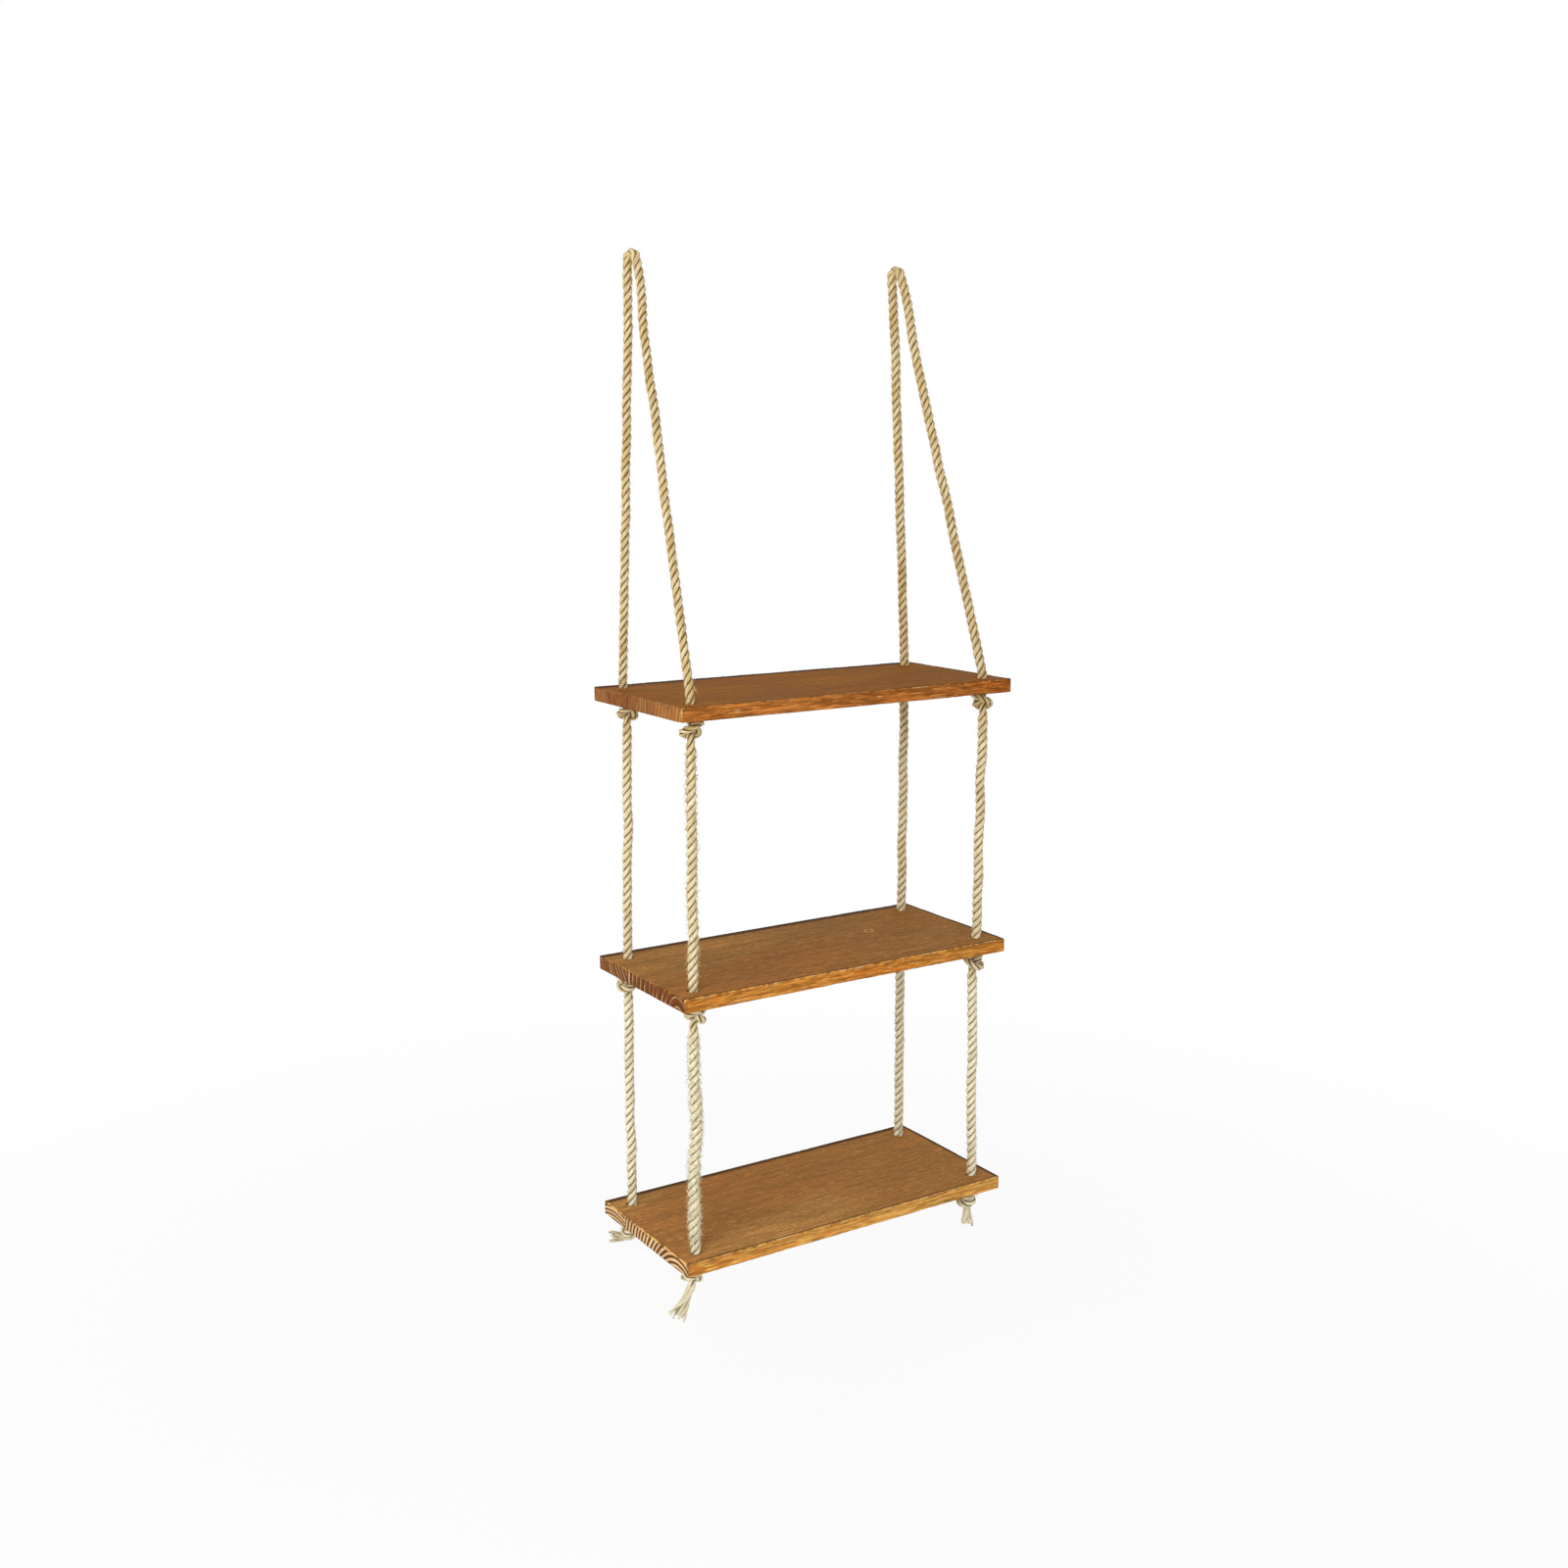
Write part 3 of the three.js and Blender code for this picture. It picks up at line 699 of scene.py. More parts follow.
class Length:
    """A length of laid rope: its centre line, its radius along it and where its first strand lies."""

    def __init__(self, points, radii, facing, lay):
        self.points = points
        self.radii = radii
        self.lay = lay
        self.uneven = STEADY
        self.reach = np.full(len(points), 0.5)  # of the radius, from the centre line to a strand's own
        self.arc = arc_of(points)
        self.tangents = unit(np.gradient(points, axis=0))
        self.normals = np.zeros_like(points)
        normal = np.asarray(facing, float)
        for k, tangent in enumerate(self.tangents):
            normal = normal - normal.dot(tangent) * tangent
            normal = normal / np.linalg.norm(normal)
            self.normals[k] = normal
        self.binormals = np.cross(self.tangents, self.normals)

    def ways(self, start_angle):
        """The way from the centre line to a strand, at each point."""
        angle = start_angle + TURN * self.arc / self.lay
        return np.cos(angle)[:, None] * self.normals + np.sin(angle)[:, None] * self.binormals

    def facing_at(self, arc):
        """Where the first strand lies after some length."""
        return unit(at_lengths(arc, self.arc, self.ways(0.0)))


@functools.cache
def tight_knot():
    """The centre line of an overhand knot from its foot to its head, in rope diameters."""
    t = np.linspace(-KNOT_REACH_SHARE, KNOT_REACH_SHARE, KNOT_CORE_POINTS)
    core = KNOT_SPREAD_SHARE * np.stack([t**4 - 4 * t**2, t**5 / 5 - 2 * t, t**3 - 3 * t], axis=1)
    core[:, 0] -= core[:, 0].mean()
    far = KNOT_END_SHARE * KNOT_OPEN_SHARE
    share = np.linspace(1 / KNOT_LEAD_POINTS, 1, KNOT_LEAD_POINTS)[:, None]
    below = core[0] + share * (np.array([0, 0, -far]) - core[0])
    above = core[-1] + share * (np.array([0, 0, far]) - core[-1])
    points = np.concatenate([below[::-1], core, above])
    first, second = np.triu_indices(len(points), 2)
    for stage in range(KNOT_ROUNDS):
        closed = min(1.0, stage / (KNOT_CLOSING_SHARE * KNOT_ROUNDS))
        opening = KNOT_OPEN_SHARE + (1 - KNOT_OPEN_SHARE) * closed
        mean_step = np.linalg.norm(np.diff(points, axis=0), axis=1).mean()
        step = max(KNOT_STEP_SHARE, mean_step * KNOT_SHRINK_SHARE)
        between = (points[:-2] + points[2:]) / 2
        points[1:-1] += KNOT_PULL_SHARE * (between - points[1:-1])
        ways = np.diff(points, axis=0)
        lengths = np.linalg.norm(ways, axis=1, keepdims=True)
        ways *= 0.5 * (lengths - step) / lengths
        moves = np.zeros_like(points)
        moves[:-1] += ways
        moves[1:] -= ways
        points += moves
        away = points[second] - points[first]
        distance = np.linalg.norm(away, axis=1)
        turn = np.minimum((second - first) * step / KNOT_APART_SHARE, math.pi / 2)
        short = KNOT_APART_SHARE * np.sin(turn) - distance
        near = short > 0
        push = away[near] * (0.5 * short[near] / distance[near])[:, None]
        moves = np.zeros_like(points)
        pushes = np.zeros(len(points))
        for ends, way in ((first[near], -push), (second[near], push)):
            np.add.at(moves, ends, way)
            np.add.at(pushes, ends, 1)
        points += moves / np.maximum(pushes, 1)[:, None]
        flat = KNOT_FLAT_SHARE * opening
        points[:, 2] = points[:, 2].clip(-flat, flat)
        for k in range(KNOT_HELD_POINTS):
            height = KNOT_END_SHARE * opening - k * step
            points[k] = (0, 0, -height)
            points[len(points) - 1 - k] = (0, 0, height)
    return points


def middle_of(node):
    low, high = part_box(node)
    return np.array((low + high) / 2)


def hanger_foot(corner):
    """Where a hanging rope bends into its hole."""
    x, y, _ = middle_of(f"middle_upper_bend_{corner}")
    low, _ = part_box(f"hanger_{corner}")
    return np.array([x, y, low.z + HANGER_DIAMETER / 2])


def rope_widths(side):
    """The diameters of one side's laid ropes above the three boards."""
    widths = {"top": HANGER_DIAMETER}
    for tier in TIERS[1:]:
        low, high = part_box(f"{tier}_rope_rear_left")
        widths[tier] = high.x - low.x
    return {tier: FULLNESS[tier][SIDES.index(side)] * width for tier, width in widths.items()}


def wander(points, size, seed):
    """Lets a straight rope waver a little between its two ends."""
    arc = arc_of(points)
    held = np.sin(math.pi * (arc / arc[-1])) ** 0.7
    for axis in range(2):
        points[:, axis] += size * held * noise_along(arc, 22, seed * 3.1, axis * 9.7)


def radius_along(arc, stops):
    """The rope's radius, eased between the stops, each a place along the rope and a radius."""
    places, radii = zip(*stops)
    spaced = np.interp(arc, places, radii)
    width = max(1, int(RADIUS_EASING / (arc[1] - arc[0])))
    kernel = np.ones(2 * width + 1) / (2 * width + 1)
    padded = np.concatenate([np.full(width, spaced[0]), spaced, np.full(width, spaced[-1])])
    return np.convolve(padded, kernel, mode="valid")


@functools.cache
def rope_over_hook(side):
    """The whole hanging rope of one side, from its front foot over the hook to its rear foot."""
    sign = -1 if side == "left" else 1
    hook = np.array([sign * HOOK_SPACING / 2, 0, -HOOK_WIRE_DIAMETER / 2])
    bend = (HOOK_WIRE_DIAMETER + HANGER_DIAMETER) / 2
    front = hanger_foot(f"front_{side}") - hook
    rear = hanger_foot(f"rear_{side}") - hook
    drop = math.hypot(front[0], front[2])
    outward = np.array([front[0] / drop, 0, front[2] / drop])

    def in_plane(y, down):
        return hook + np.array([0, y, 0]) + down * outward

    def leaves_at(foot, way):
        """The angle at which the rope leaves the hook towards a foot."""
        return math.atan2(-drop, foot[1]) + way * math.acos(bend / math.hypot(foot[1], drop))

    angles = np.linspace(leaves_at(front, -1) + TURN, leaves_at(rear, 1), ARCH_POINTS)
    arch = [in_plane(bend * math.cos(angle), -bend * math.sin(angle)) for angle in angles]
    line = [in_plane(front[1], drop), *arch, in_plane(rear[1], drop)]
    points = evenly(np.array(line), RING_STEP)
    below = ((hook[2] - points[:, 2]) / FOLD_REACH).clip(0, 1)
    turn = FOLD_TURN * (1 - below**2 * (3 - 2 * below))
    points[:, 0] -= np.sin(turn) * points[:, 1]
    points[:, 1] *= np.cos(turn)
    radii = np.full(len(points), rope_widths(side)["top"] / 2)
    return Length(points, radii, (1.0, 0.0, 0.0), bpy.context.scene.shelf_rope.lay)


def cut_length(whole, start, end, backwards=False):
    """A length of rope cut out of a longer one."""
    arc = np.arange(start, end, RING_STEP)
    arc = np.append(arc[: max(2, len(arc) - 1)], end)
    points = at_lengths(arc, whole.arc, whole.points)
    facing = whole.facing_at(end if backwards else start)
    if backwards:
        points = points[::-1]
    return Length(points, np.full(len(points), whole.radii[0]), facing, whole.lay)


def slim_start(length):
    """Makes the first end of a rope slim enough to hide in the rope above it."""
    length.radii = length.radii * np.interp(length.arc, [0, 0.7 * LAP, 1.3 * LAP], [SLIM, SLIM, 1.0])
    return length


@functools.cache
def hanging_lengths(side):
    """The crown, the front leg and the rear leg of one hanging rope."""
    whole = rope_over_hook(side)
    inside = np.nonzero(whole.points[:, 2] > -HOOK_WIRE_DIAMETER / 2 - SHOULDER_LENGTH)[0]
    start, end = whole.arc[inside[0]], whole.arc[inside[-1]]
    crown = cut_length(whole, start, end)
    crown.reach -= CROWN_TIGHTNESS * np.sin(math.pi * crown.arc / crown.arc[-1])
    front = slim_start(cut_length(whole, 0.0, start + LAP, backwards=True))
    rear = slim_start(cut_length(whole, end - LAP, whole.arc[-1]))
    lengths = [crown]
    for leg, seed in ((front, 1), (rear, 2)):
        wander(leg.points, HANGER_WAVER, seed + 5 * SIDES.index(side))
        last = unit(leg.points[-1] - leg.points[-2])
        points = np.concatenate([leg.points, [leg.points[-1] + LAP / 2 * last]])
        lengths.append(Length(points, np.append(leg.radii, leg.radii[-1]), leg.normals[0], leg.lay))
    return lengths


def knot_line(tier, corner, above, below):
    """The centre line of a knot's rope: out of the rope above, through the hole, the knot and on down."""
    rope = bpy.context.scene.shelf_rope
    turn = math.radians(KNOT_TURNS_DEG[tier][corner])
    mirror = -1 if corner.endswith("left") else 1
    board_low, board_high = board_box(tier)
    drop = (KNOT_FLAT_SHARE + 0.5) * rope.knot_rope + KNOT_GAP
    x, y, z = (tight_knot() * np.array([1, mirror, 1]) * rope.knot_rope).T
    turned = (x * math.cos(turn) - y * math.sin(turn), x * math.sin(turn) + y * math.cos(turn), z)
    line = np.stack(turned, axis=1) + np.array([below[0], below[1], board_low.z - drop])
    hole_x, hole_y, _ = hanger_foot(corner)
    in_hole = [[hole_x, hole_y, height] for height in (board_high.z - HOLE_INSET, board_low.z + HOLE_INSET)]
    return np.concatenate([above, in_hole, line[::-1], [below]])


def knot_length(tier, corner, above, widths):
    """The rope through a board and the knot below it, laid on from the rope above."""
    rope = bpy.context.scene.shelf_rope
    knot_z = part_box(f"{tier}_knot_{corner}")[0].z
    if tier == "bottom":
        x, y, _ = hanger_foot(corner)
        below = np.array([x + LEANS.get(("end", corner), 0.0), y, knot_z])
        lower = TAIL_RADIUS
    else:
        next_tier = TIERS[TIERS.index(tier) + 1]
        lean = LEANS.get((next_tier, corner), 0.0)
        below = middle_of(f"{next_tier}_upper_bend_{corner}") + np.array([lean, 0, -LAP / 2])
        lower = widths[next_tier] / 2
    start = [above.points[-1] - LAP * above.tangents[-1], above.points[-1]]
    points = smooth_line(knot_line(tier, corner, start, below), KNOT_STEP, KNOT_SMOOTHING_PASSES)
    arc = arc_of(points)
    into = arc[np.argmax(points[:, 2] < underside(tier))]
    out = arc[len(points) - 1 - np.argmax(points[::-1, 2] > knot_z + KNOT_LEAD_OUT)]
    upper, inner = widths[tier] / 2, rope.in_knot / 2
    narrows, narrowed = into - KNOT_LEAD_IN, into + KNOT_LEAD_OUT
    stops = ((0, upper), (narrows, upper), (narrowed, inner), (out, inner), (arc[-1], lower))
    facing = above.facing_at(above.arc[-1] - LAP)
    return slim_start(Length(points, radius_along(arc, stops), facing, rope.lay))


def stretch_length(tier, corner, above, widths):
    """The rope from a knot down to the next board."""
    top = above.points[-1] + np.array([0, 0, LAP])
    bottom = middle_of(f"{tier}_lower_bend_{corner}") - np.array([0, 0, LAP / 2])
    points = evenly(np.array([top, bottom]), RING_STEP)
    waver = LOOSE_WAVER if (tier, corner) == ("bottom", "front_left") else WAVER
    wander(points, waver, (TIERS.index(tier) - 1) * len(CORNERS) + CORNERS.index(corner) + 20)
    radii = np.full(len(points), widths[tier] / 2)
    if corner == "front_left":
        share = np.linspace(0, 1, len(points))
        radii *= 1 + SWELLING[tier] * np.interp(share, [0, 0.3, 0.92, 0.97], [0, 1, 1, 0])
    facing = above.facing_at(above.arc[-1] - LAP)
    length = slim_start(Length(points, radii, facing, bpy.context.scene.shelf_rope.lay))
    if corner == "front_left":
        length.uneven = UNEVEN[tier]
    return length


@functools.cache
def corner_lengths(corner):
    """Every length of rope at one corner below its hanging rope, each laid on from the one above."""
    end, side = corner.split("_")
    widths = rope_widths(side)
    previous = hanging_lengths(side)[1 if end == "front" else 2]
    lengths = {}
    for tier in TIERS:
        if tier != "top":
            previous = lengths[f"{tier}_rope"] = stretch_length(tier, corner, previous, widths)
        previous = lengths[f"{tier}_knot"] = knot_length(tier, corner, previous, widths)
    return lengths


def mark(mesh, name, values):
    """Gives a mesh's points an attribute, of one number or of a vector each."""
    values = np.asarray(values, np.float32)
    kind, field = ("FLOAT", "value") if values.ndim == 1 else ("FLOAT_VECTOR", "vector")
    mesh.attributes.new(name, kind, "POINT")
    mesh.attributes[name].data.foreach_set(field, values.ravel())


@functools.cache
def tube_faces(rings, sides):
    """The faces of a closed tube whose points come ring by ring."""
    faces = []
    for ring in range(rings - 1):
        for side in range(sides):
            here = ring * sides
            ahead = here + sides
            beside = (side + 1) % sides
            faces.append((here + side, here + beside, ahead + beside, ahead + side))
    faces.append(tuple(reversed(range(sides))))
    faces.append(tuple(range((rings - 1) * sides, rings * sides)))
    return faces


def tube_points(centre, first, second, angles, radii):
    """Points round a line, ring by ring. The radii are one for each ring, or one for each point."""
    spokes = np.cos(angles)[..., None] * first[:, None] + np.sin(angles)[..., None] * second[:, None]
    return centre[:, None] + radii[..., None] * spokes


def lay_of(along, angles):
    """What the fibre's material reads: the length along a yarn, and the place round it."""
    shape = (len(along), len(angles))
    values = (along[:, None], np.cos(angles), np.sin(angles))
    return np.stack([np.broadcast_to(value, shape) for value in values], axis=2)


class Parts:
    """Tubes gathered for one mesh, with what their material reads at each point."""

    def __init__(self):
        self.points = []
        self.faces = []
        self.lay = []
        self.outward = []
        self.count = 0

    def add(self, points, lay, outward):
        """Adds a closed tube, whose points are given ring by ring."""
        rings, sides, _ = points.shape
        self.points.append(points.reshape(-1, 3))
        self.lay.append(np.broadcast_to(lay, points.shape).reshape(-1, 3))
        self.outward.append(np.broadcast_to(outward, (rings, sides)).ravel())
        self.faces.extend([k + self.count for k in face] for face in tube_faces(rings, sides))
        self.count += rings * sides

    def piece(self, name, tier):
        mesh = bpy.data.meshes.new(name)
        mesh.from_pydata(np.concatenate(self.points).tolist(), [], self.faces)
        mark(mesh, "lay", np.concatenate(self.lay))
        mark(mesh, "outward", np.concatenate(self.outward))
        mesh.polygons.foreach_set("use_smooth", [True] * len(mesh.polygons))
        mesh.materials.append(rope_finish(tier))
        mesh.update()
        piece = bpy.data.objects.new(name, mesh)
        bpy.context.scene.collection.objects.link(piece)
        return piece


def add_strand(parts, length, index, seed):
    """One strand of a laid rope: a tube of yarns that wind round the centre line."""
    ways = length.ways(TURN * index / STRANDS)
    slow = noise_along(length.arc, 60, seed * 1.7, index * 5.3)
    reach = length.reach * length.radii * (1 + 0.05 * slow)
    centre = length.points + reach[:, None] * ways
    along = unit(np.gradient(centre, axis=0))
    radial = unit(ways - (ways * along).sum(1, keepdims=True) * along)
    corner = np.arange(STRAND_SIDES) / STRAND_SIDES
    lobe = np.sin(math.pi * ((YARNS * corner) % 1.0)) ** 0.6
    yarn_of = (YARNS * corner).astype(int)
    swell = [noise_along(length.arc, 90, yarn * 3.3 + seed, index * 7.7) for yarn in range(YARNS)]
    swell = length.uneven * np.stack(swell, axis=1)
    size = 1 - 0.1 + 0.1 * lobe + 0.07 * swell[:, yarn_of] * lobe
    thick = 1 + 0.04 * (slow * length.uneven)
    radius = ((1.01 - length.reach) * length.radii)[:, None] * size * thick[:, None]
    angle = TURN * corner[None, :] - (TURN * YARN_TWIST * length.arc / length.lay)[:, None]
    points = tube_points(centre, radial, np.cross(along, radial), angle, radius)
    # How far out from the centre line each point lies, by which the fibre's material paints shade in the
    # grooves
    from_line = points - length.points[:, None, :]
    tangents = length.tangents[:, None, :]
    from_line -= (from_line * tangents).sum(2, keepdims=True) * tangents
    outward = np.linalg.norm(from_line, axis=2) / length.radii[:, None]
    lay = lay_of(length.arc + 0.37 * index + seed, TURN * corner)
    parts.add(points, lay, ((outward - 0.5) / 0.5).clip(0, 1))
    return points


def add_fibre(parts, start, along, outward, size, rng, stout=1.0):
    """One stray fibre: a thin tapered thread that leaves the rope and curls."""
    side = unit(np.cross(along, outward))
    lean = rng.uniform(0.25, 1.0)
    sway = rng.uniform(-0.9, 0.9)
    curl = rng.uniform(-1.2, 1.2)
    share = np.linspace(0, 1, FIBRE_RINGS)[:, None]
    forward = share * along * rng.choice((-1, 1)) * rng.uniform(0.3, 1)
    away = lean * share**1.2 * outward * 0.6
    line = start + size * (forward + away + sway * share * side * 0.7 + curl * share**2 * side * 0.5)
    line[:, 2] -= 0.12 * size * share[:, 0] ** 2
    line[0] -= FIBRE_ROOT * outward
    tangents = unit(np.gradient(line, axis=0))
    first = unit(np.cross(tangents, side + 0.3 * outward))
    thickness = stout * bpy.context.scene.shelf_rope.fibre / 2
    radius = thickness * np.linspace(1.0, 0.35, FIBRE_RINGS)
    angles = np.arange(FIBRE_SIDES) * TURN / FIBRE_SIDES
    points = tube_points(line, first, np.cross(tangents, first), angles, radius[:, None])
    parts.add(points, [rng.uniform(0, 1), rng.uniform(-1, 1), rng.uniform(-1, 1)], 1.0)


def add_fuzz(parts, length, strands, per_metre, longest, rng, stout=1.0):
    """Stray fibres all along a rope."""
    for _ in range(int(per_metre * length.arc[-1])):
        ring = rng.randrange(3, len(length.arc) - 3)
        points = strands[rng.randrange(STRANDS)][ring]
        away = np.linalg.norm(points - length.points[ring], axis=1)
        best = int(np.argmax(away + FIBRE_SCATTER * np.array([rng.random() for _ in away])))
        outward = unit(points[best] - length.points[ring])
        size = rng.uniform(0.35, 1) * longest
        add_fibre(parts, points[best], length.tangents[ring], outward, size, rng, stout)


def add_tuft(parts, length, rng):
    """A broken yarn that stands out of a rope's side a little above the board."""
    at = int(np.argmin(abs(length.arc - (length.arc[-1] - TUFT_RISE))))
    way = unit(np.array(TUFT_WAY))
    start = length.points[at] + 0.8 * length.radii[at] * way
    for _ in range(TUFT_FIBRES):
        size = rng.uniform(0.7, 1.2) * TUFT_LENGTH
        add_fibre(parts, start, -length.tangents[at], way, size, rng, TUFT_STOUTNESS)


def laid_rope(name, length, tier, per_metre, seed, fluffy=0, tuft=False):
    """A piece of laid rope with its stray fibres, and more short ones where it is fluffy."""
    parts = Parts()
    rng = random.Random(seed)
    longest = bpy.context.scene.shelf_rope.fibre_length
    strands = [add_strand(parts, length, index, seed) for index in range(STRANDS)]
    add_fuzz(parts, length, strands, per_metre, longest, rng)
    add_fuzz(parts, length, strands, fluffy, FLUFF_SHARE * longest, rng, FLUFF_STOUTNESS)
    if tuft:
        add_tuft(parts, length, rng)
    return parts.piece(name, tier)


def select_only(piece):
    bpy.ops.object.select_all(action="DESELECT")
    piece.select_set(True)
    bpy.context.view_layer.objects.active = piece


def apply_modifier(piece, kind, **settings):
    modifier = piece.modifiers.new(kind.title(), kind)
    for key, value in settings.items():
        setattr(modifier, key, value)
    select_only(piece)
    bpy.ops.object.modifier_apply(modifier=modifier.name)


def blank_board(board):
    """A board the size of the top one, with rounded arrises, four holes and enough points to wear."""
    low, high = board_box("top")
    size = high - low
    bpy.ops.mesh.primitive_cube_add(size=1, location=(low + high) / 2, scale=size)
    blank = bpy.context.object
    select_only(blank)
    bpy.ops.object.transform_apply(location=True, rotation=False, scale=True)
    for corner in CORNERS:
        x, y, _ = hanger_foot(corner)
        place = (x, y, (low.z + high.z) / 2)
        bpy.ops.mesh.primitive_cylinder_add(
            vertices=DRILL_SIDES, radius=board.hole / 2, depth=3 * size.z, location=place
        )
        drill = bpy.context.object
        apply_modifier(blank, "BOOLEAN", object=drill, operation="DIFFERENCE", solver="EXACT")
        bpy.data.objects.remove(drill)
    apply_modifier(
        blank, "BEVEL",
        width=board.rounding, segments=BEVEL_SEGMENTS, limit_method="ANGLE", angle_limit=SHARP_ANGLE,
    )
    select_only(blank)
    bpy.ops.object.mode_set(mode="EDIT")
    far = CUT_INSETS[1]
    cuts = [(0, x) for x in np.arange(low.x + far, high.x - far, CUTS_ALONG)]
    cuts += [(1, y) for y in np.arange(low.y + far, high.y - far, CUTS_ACROSS)]
    for inset in CUT_INSETS:
        cuts += [(axis, edge) for axis in range(3) for edge in (low[axis] + inset, high[axis] - inset)]
    for axis, place in cuts:
        bpy.ops.mesh.select_all(action="SELECT")
        normal = Vector([float(axis == k) for k in range(3)])
        bpy.ops.mesh.bisect(plane_co=normal * place, plane_no=normal)
    bpy.ops.mesh.select_all(action="SELECT")
    bpy.ops.mesh.remove_doubles(threshold=WELD_DISTANCE)
    bpy.ops.mesh.normals_make_consistent(inside=False)
    bpy.ops.object.mode_set(mode="OBJECT")
    return blank


def wear_board(piece, tier, board):
    """Moves a board's points as years of use would, marks how worn each is, and marks where shade is painted
    along the arrises.
    """
    low, high = (np.array(corner) for corner in board_box(tier))
    mesh = piece.data
    number = TIERS.index(tier)
    count = len(mesh.vertices)
    places, normals = np.zeros(3 * count), np.zeros(3 * count)
    mesh.vertices.foreach_get("co", places)
    mesh.vertex_normals.foreach_get("vector", normals)
    places, normals = places.reshape(-1, 3), normals.reshape(-1, 3)
    gaps = np.sort(np.minimum(places - low, high - places), axis=1)
    arris = np.maximum(0, 1 - (gaps[:, 0] + gaps[:, 1]) / ARRIS_REACH)
    facing_up = places[:, 2] > (low[2] + high[2]) / 2
    facing_front = places[:, 1] < low[1] + SIDE_REACH
    strength = np.where(facing_up, 1.0, 0.55) * np.where(facing_front, 1.0, 0.6)
    near = arris > 0
    long_wear = noise_at(places[near], (20, 24, 20), (number * 3.7, 0, 0))
    short_wear = noise_at(places[near], (230, 230, 60), (number * 9.1, 0, 0))
    worn = np.zeros(count)
    worn[near] = (2.6 * (0.75 * long_wear + 0.5 * short_wear) + 0.02).clip(0, 1)
    worn *= arris * strength
    swell = noise_at(places, (9, 16, 16), (0, number, 0)) - 0.6
    swell *= (gaps[:, 0] < FLAT_DEPTH) & (gaps[:, 1] > FLAT_INSET)
    # Painted shade along the arrises: strong along the rear and right top arrises, faint along the others
    at_rear_or_right = (places[:, :2] > high[:2] - SIDE_REACH).any(axis=1)
    handled = arris * np.where(facing_up & at_rear_or_right, 0.9, 0.25)
    places += normals * (board.unevenness * swell - board.wear * worn)[:, None]
    mesh.vertices.foreach_set("co", places.ravel())
    mark(mesh, "worn", worn)
    mark(mesh, "handled", handled)
    mesh.update()


class SHELF_OT_stage(bpy.types.Operator):
    """Sets up the camera, the floor, the white background and the lamp"""

    bl_idname = "shelf.stage"
    bl_label = "Stage"

    def execute(self, context):
        stage = context.scene.shelf_stage
        self.add_camera(context, stage)
        self.add_floor(context, stage)
        self.light(context, stage)
        context.scene.view_settings.view_transform = "Standard"
        return {"FINISHED"}

    def add_camera(self, context, stage):
        rotation = (math.pi / 2 - stage.camera_dip, 0, -stage.camera_turn)
        bpy.ops.object.camera_add(location=stage.camera_place, rotation=rotation)
        camera = context.object
        camera.name = "camera"
        camera.data.lens = stage.lens
        camera.data.sensor_width = 36
        camera.data.sensor_fit = "HORIZONTAL"
        context.scene.camera = camera

    def add_floor(self, context, stage):
        place = (0, 0, CAD_BOX[0].z - stage.floor_drop)
        size = stage.floor_size
        bpy.ops.mesh.primitive_grid_add(x_subdivisions=2, y_subdivisions=2, size=size, location=place)
        floor = context.object
        floor.name = "floor"
        material, shader, surface = new_material("pale_floor")
        surface.inputs["Base Color"].default_value = (*stage.floor_colour, 1)
        surface.inputs["Roughness"].default_value = 0.9
        surface.inputs["Specular IOR Level"].default_value = 0.1
        x, y, _ = shader.place()
        far = shader.ease((x * x + y * y) ** 0.5, 0.5, 2.0, start=0.88)
        seen = shader.add("ShaderNodeLightPath", output="Is Camera Ray")
        white = shader.add("ShaderNodeEmission", sockets={"Color": (1, 1, 1), "Strength": 1.0})
        own = Wire(shader, surface.outputs[0])
        mixed = shader.add("ShaderNodeMixShader", sockets={0: far * seen, 1: own, 2: white})
        shader.put(shader.tree.nodes["Material Output"].inputs["Surface"], mixed)
        floor.data.materials.append(material)

    def light(self, context, stage):
        world = bpy.data.worlds.new("soft_white_world")
        world.use_nodes = True
        world.node_tree.nodes.clear()
        shader = Shader(world.node_tree)
        seen = shader.add("ShaderNodeLightPath", output="Is Camera Ray")
        for name in ("Is Glossy Ray", "Is Transmission Ray"):
            seen = seen.most(shader.add("ShaderNodeLightPath", output=name))
        ambient, white = (
            shader.add("ShaderNodeBackground", sockets={"Color": (1, 1, 1), "Strength": strength})
            for strength in (stage.ambient, 1.0)
        )
        mixed = shader.add("ShaderNodeMixShader", sockets={0: seen, 1: ambient, 2: white})
        shader.add("ShaderNodeOutputWorld", sockets={"Surface": mixed})
        context.scene.world = world

        low, high = CAD_BOX
        place = Vector(stage.key_place)
        bpy.ops.object.light_add(type="AREA", location=place)
        lamp = context.object
        lamp.name = "key_light"
        lamp.data.size = stage.key_size
        lamp.data.energy = stage.key_power
        lamp.rotation_euler = ((low + high) / 2 - place).to_track_quat("-Z", "Y").to_euler()


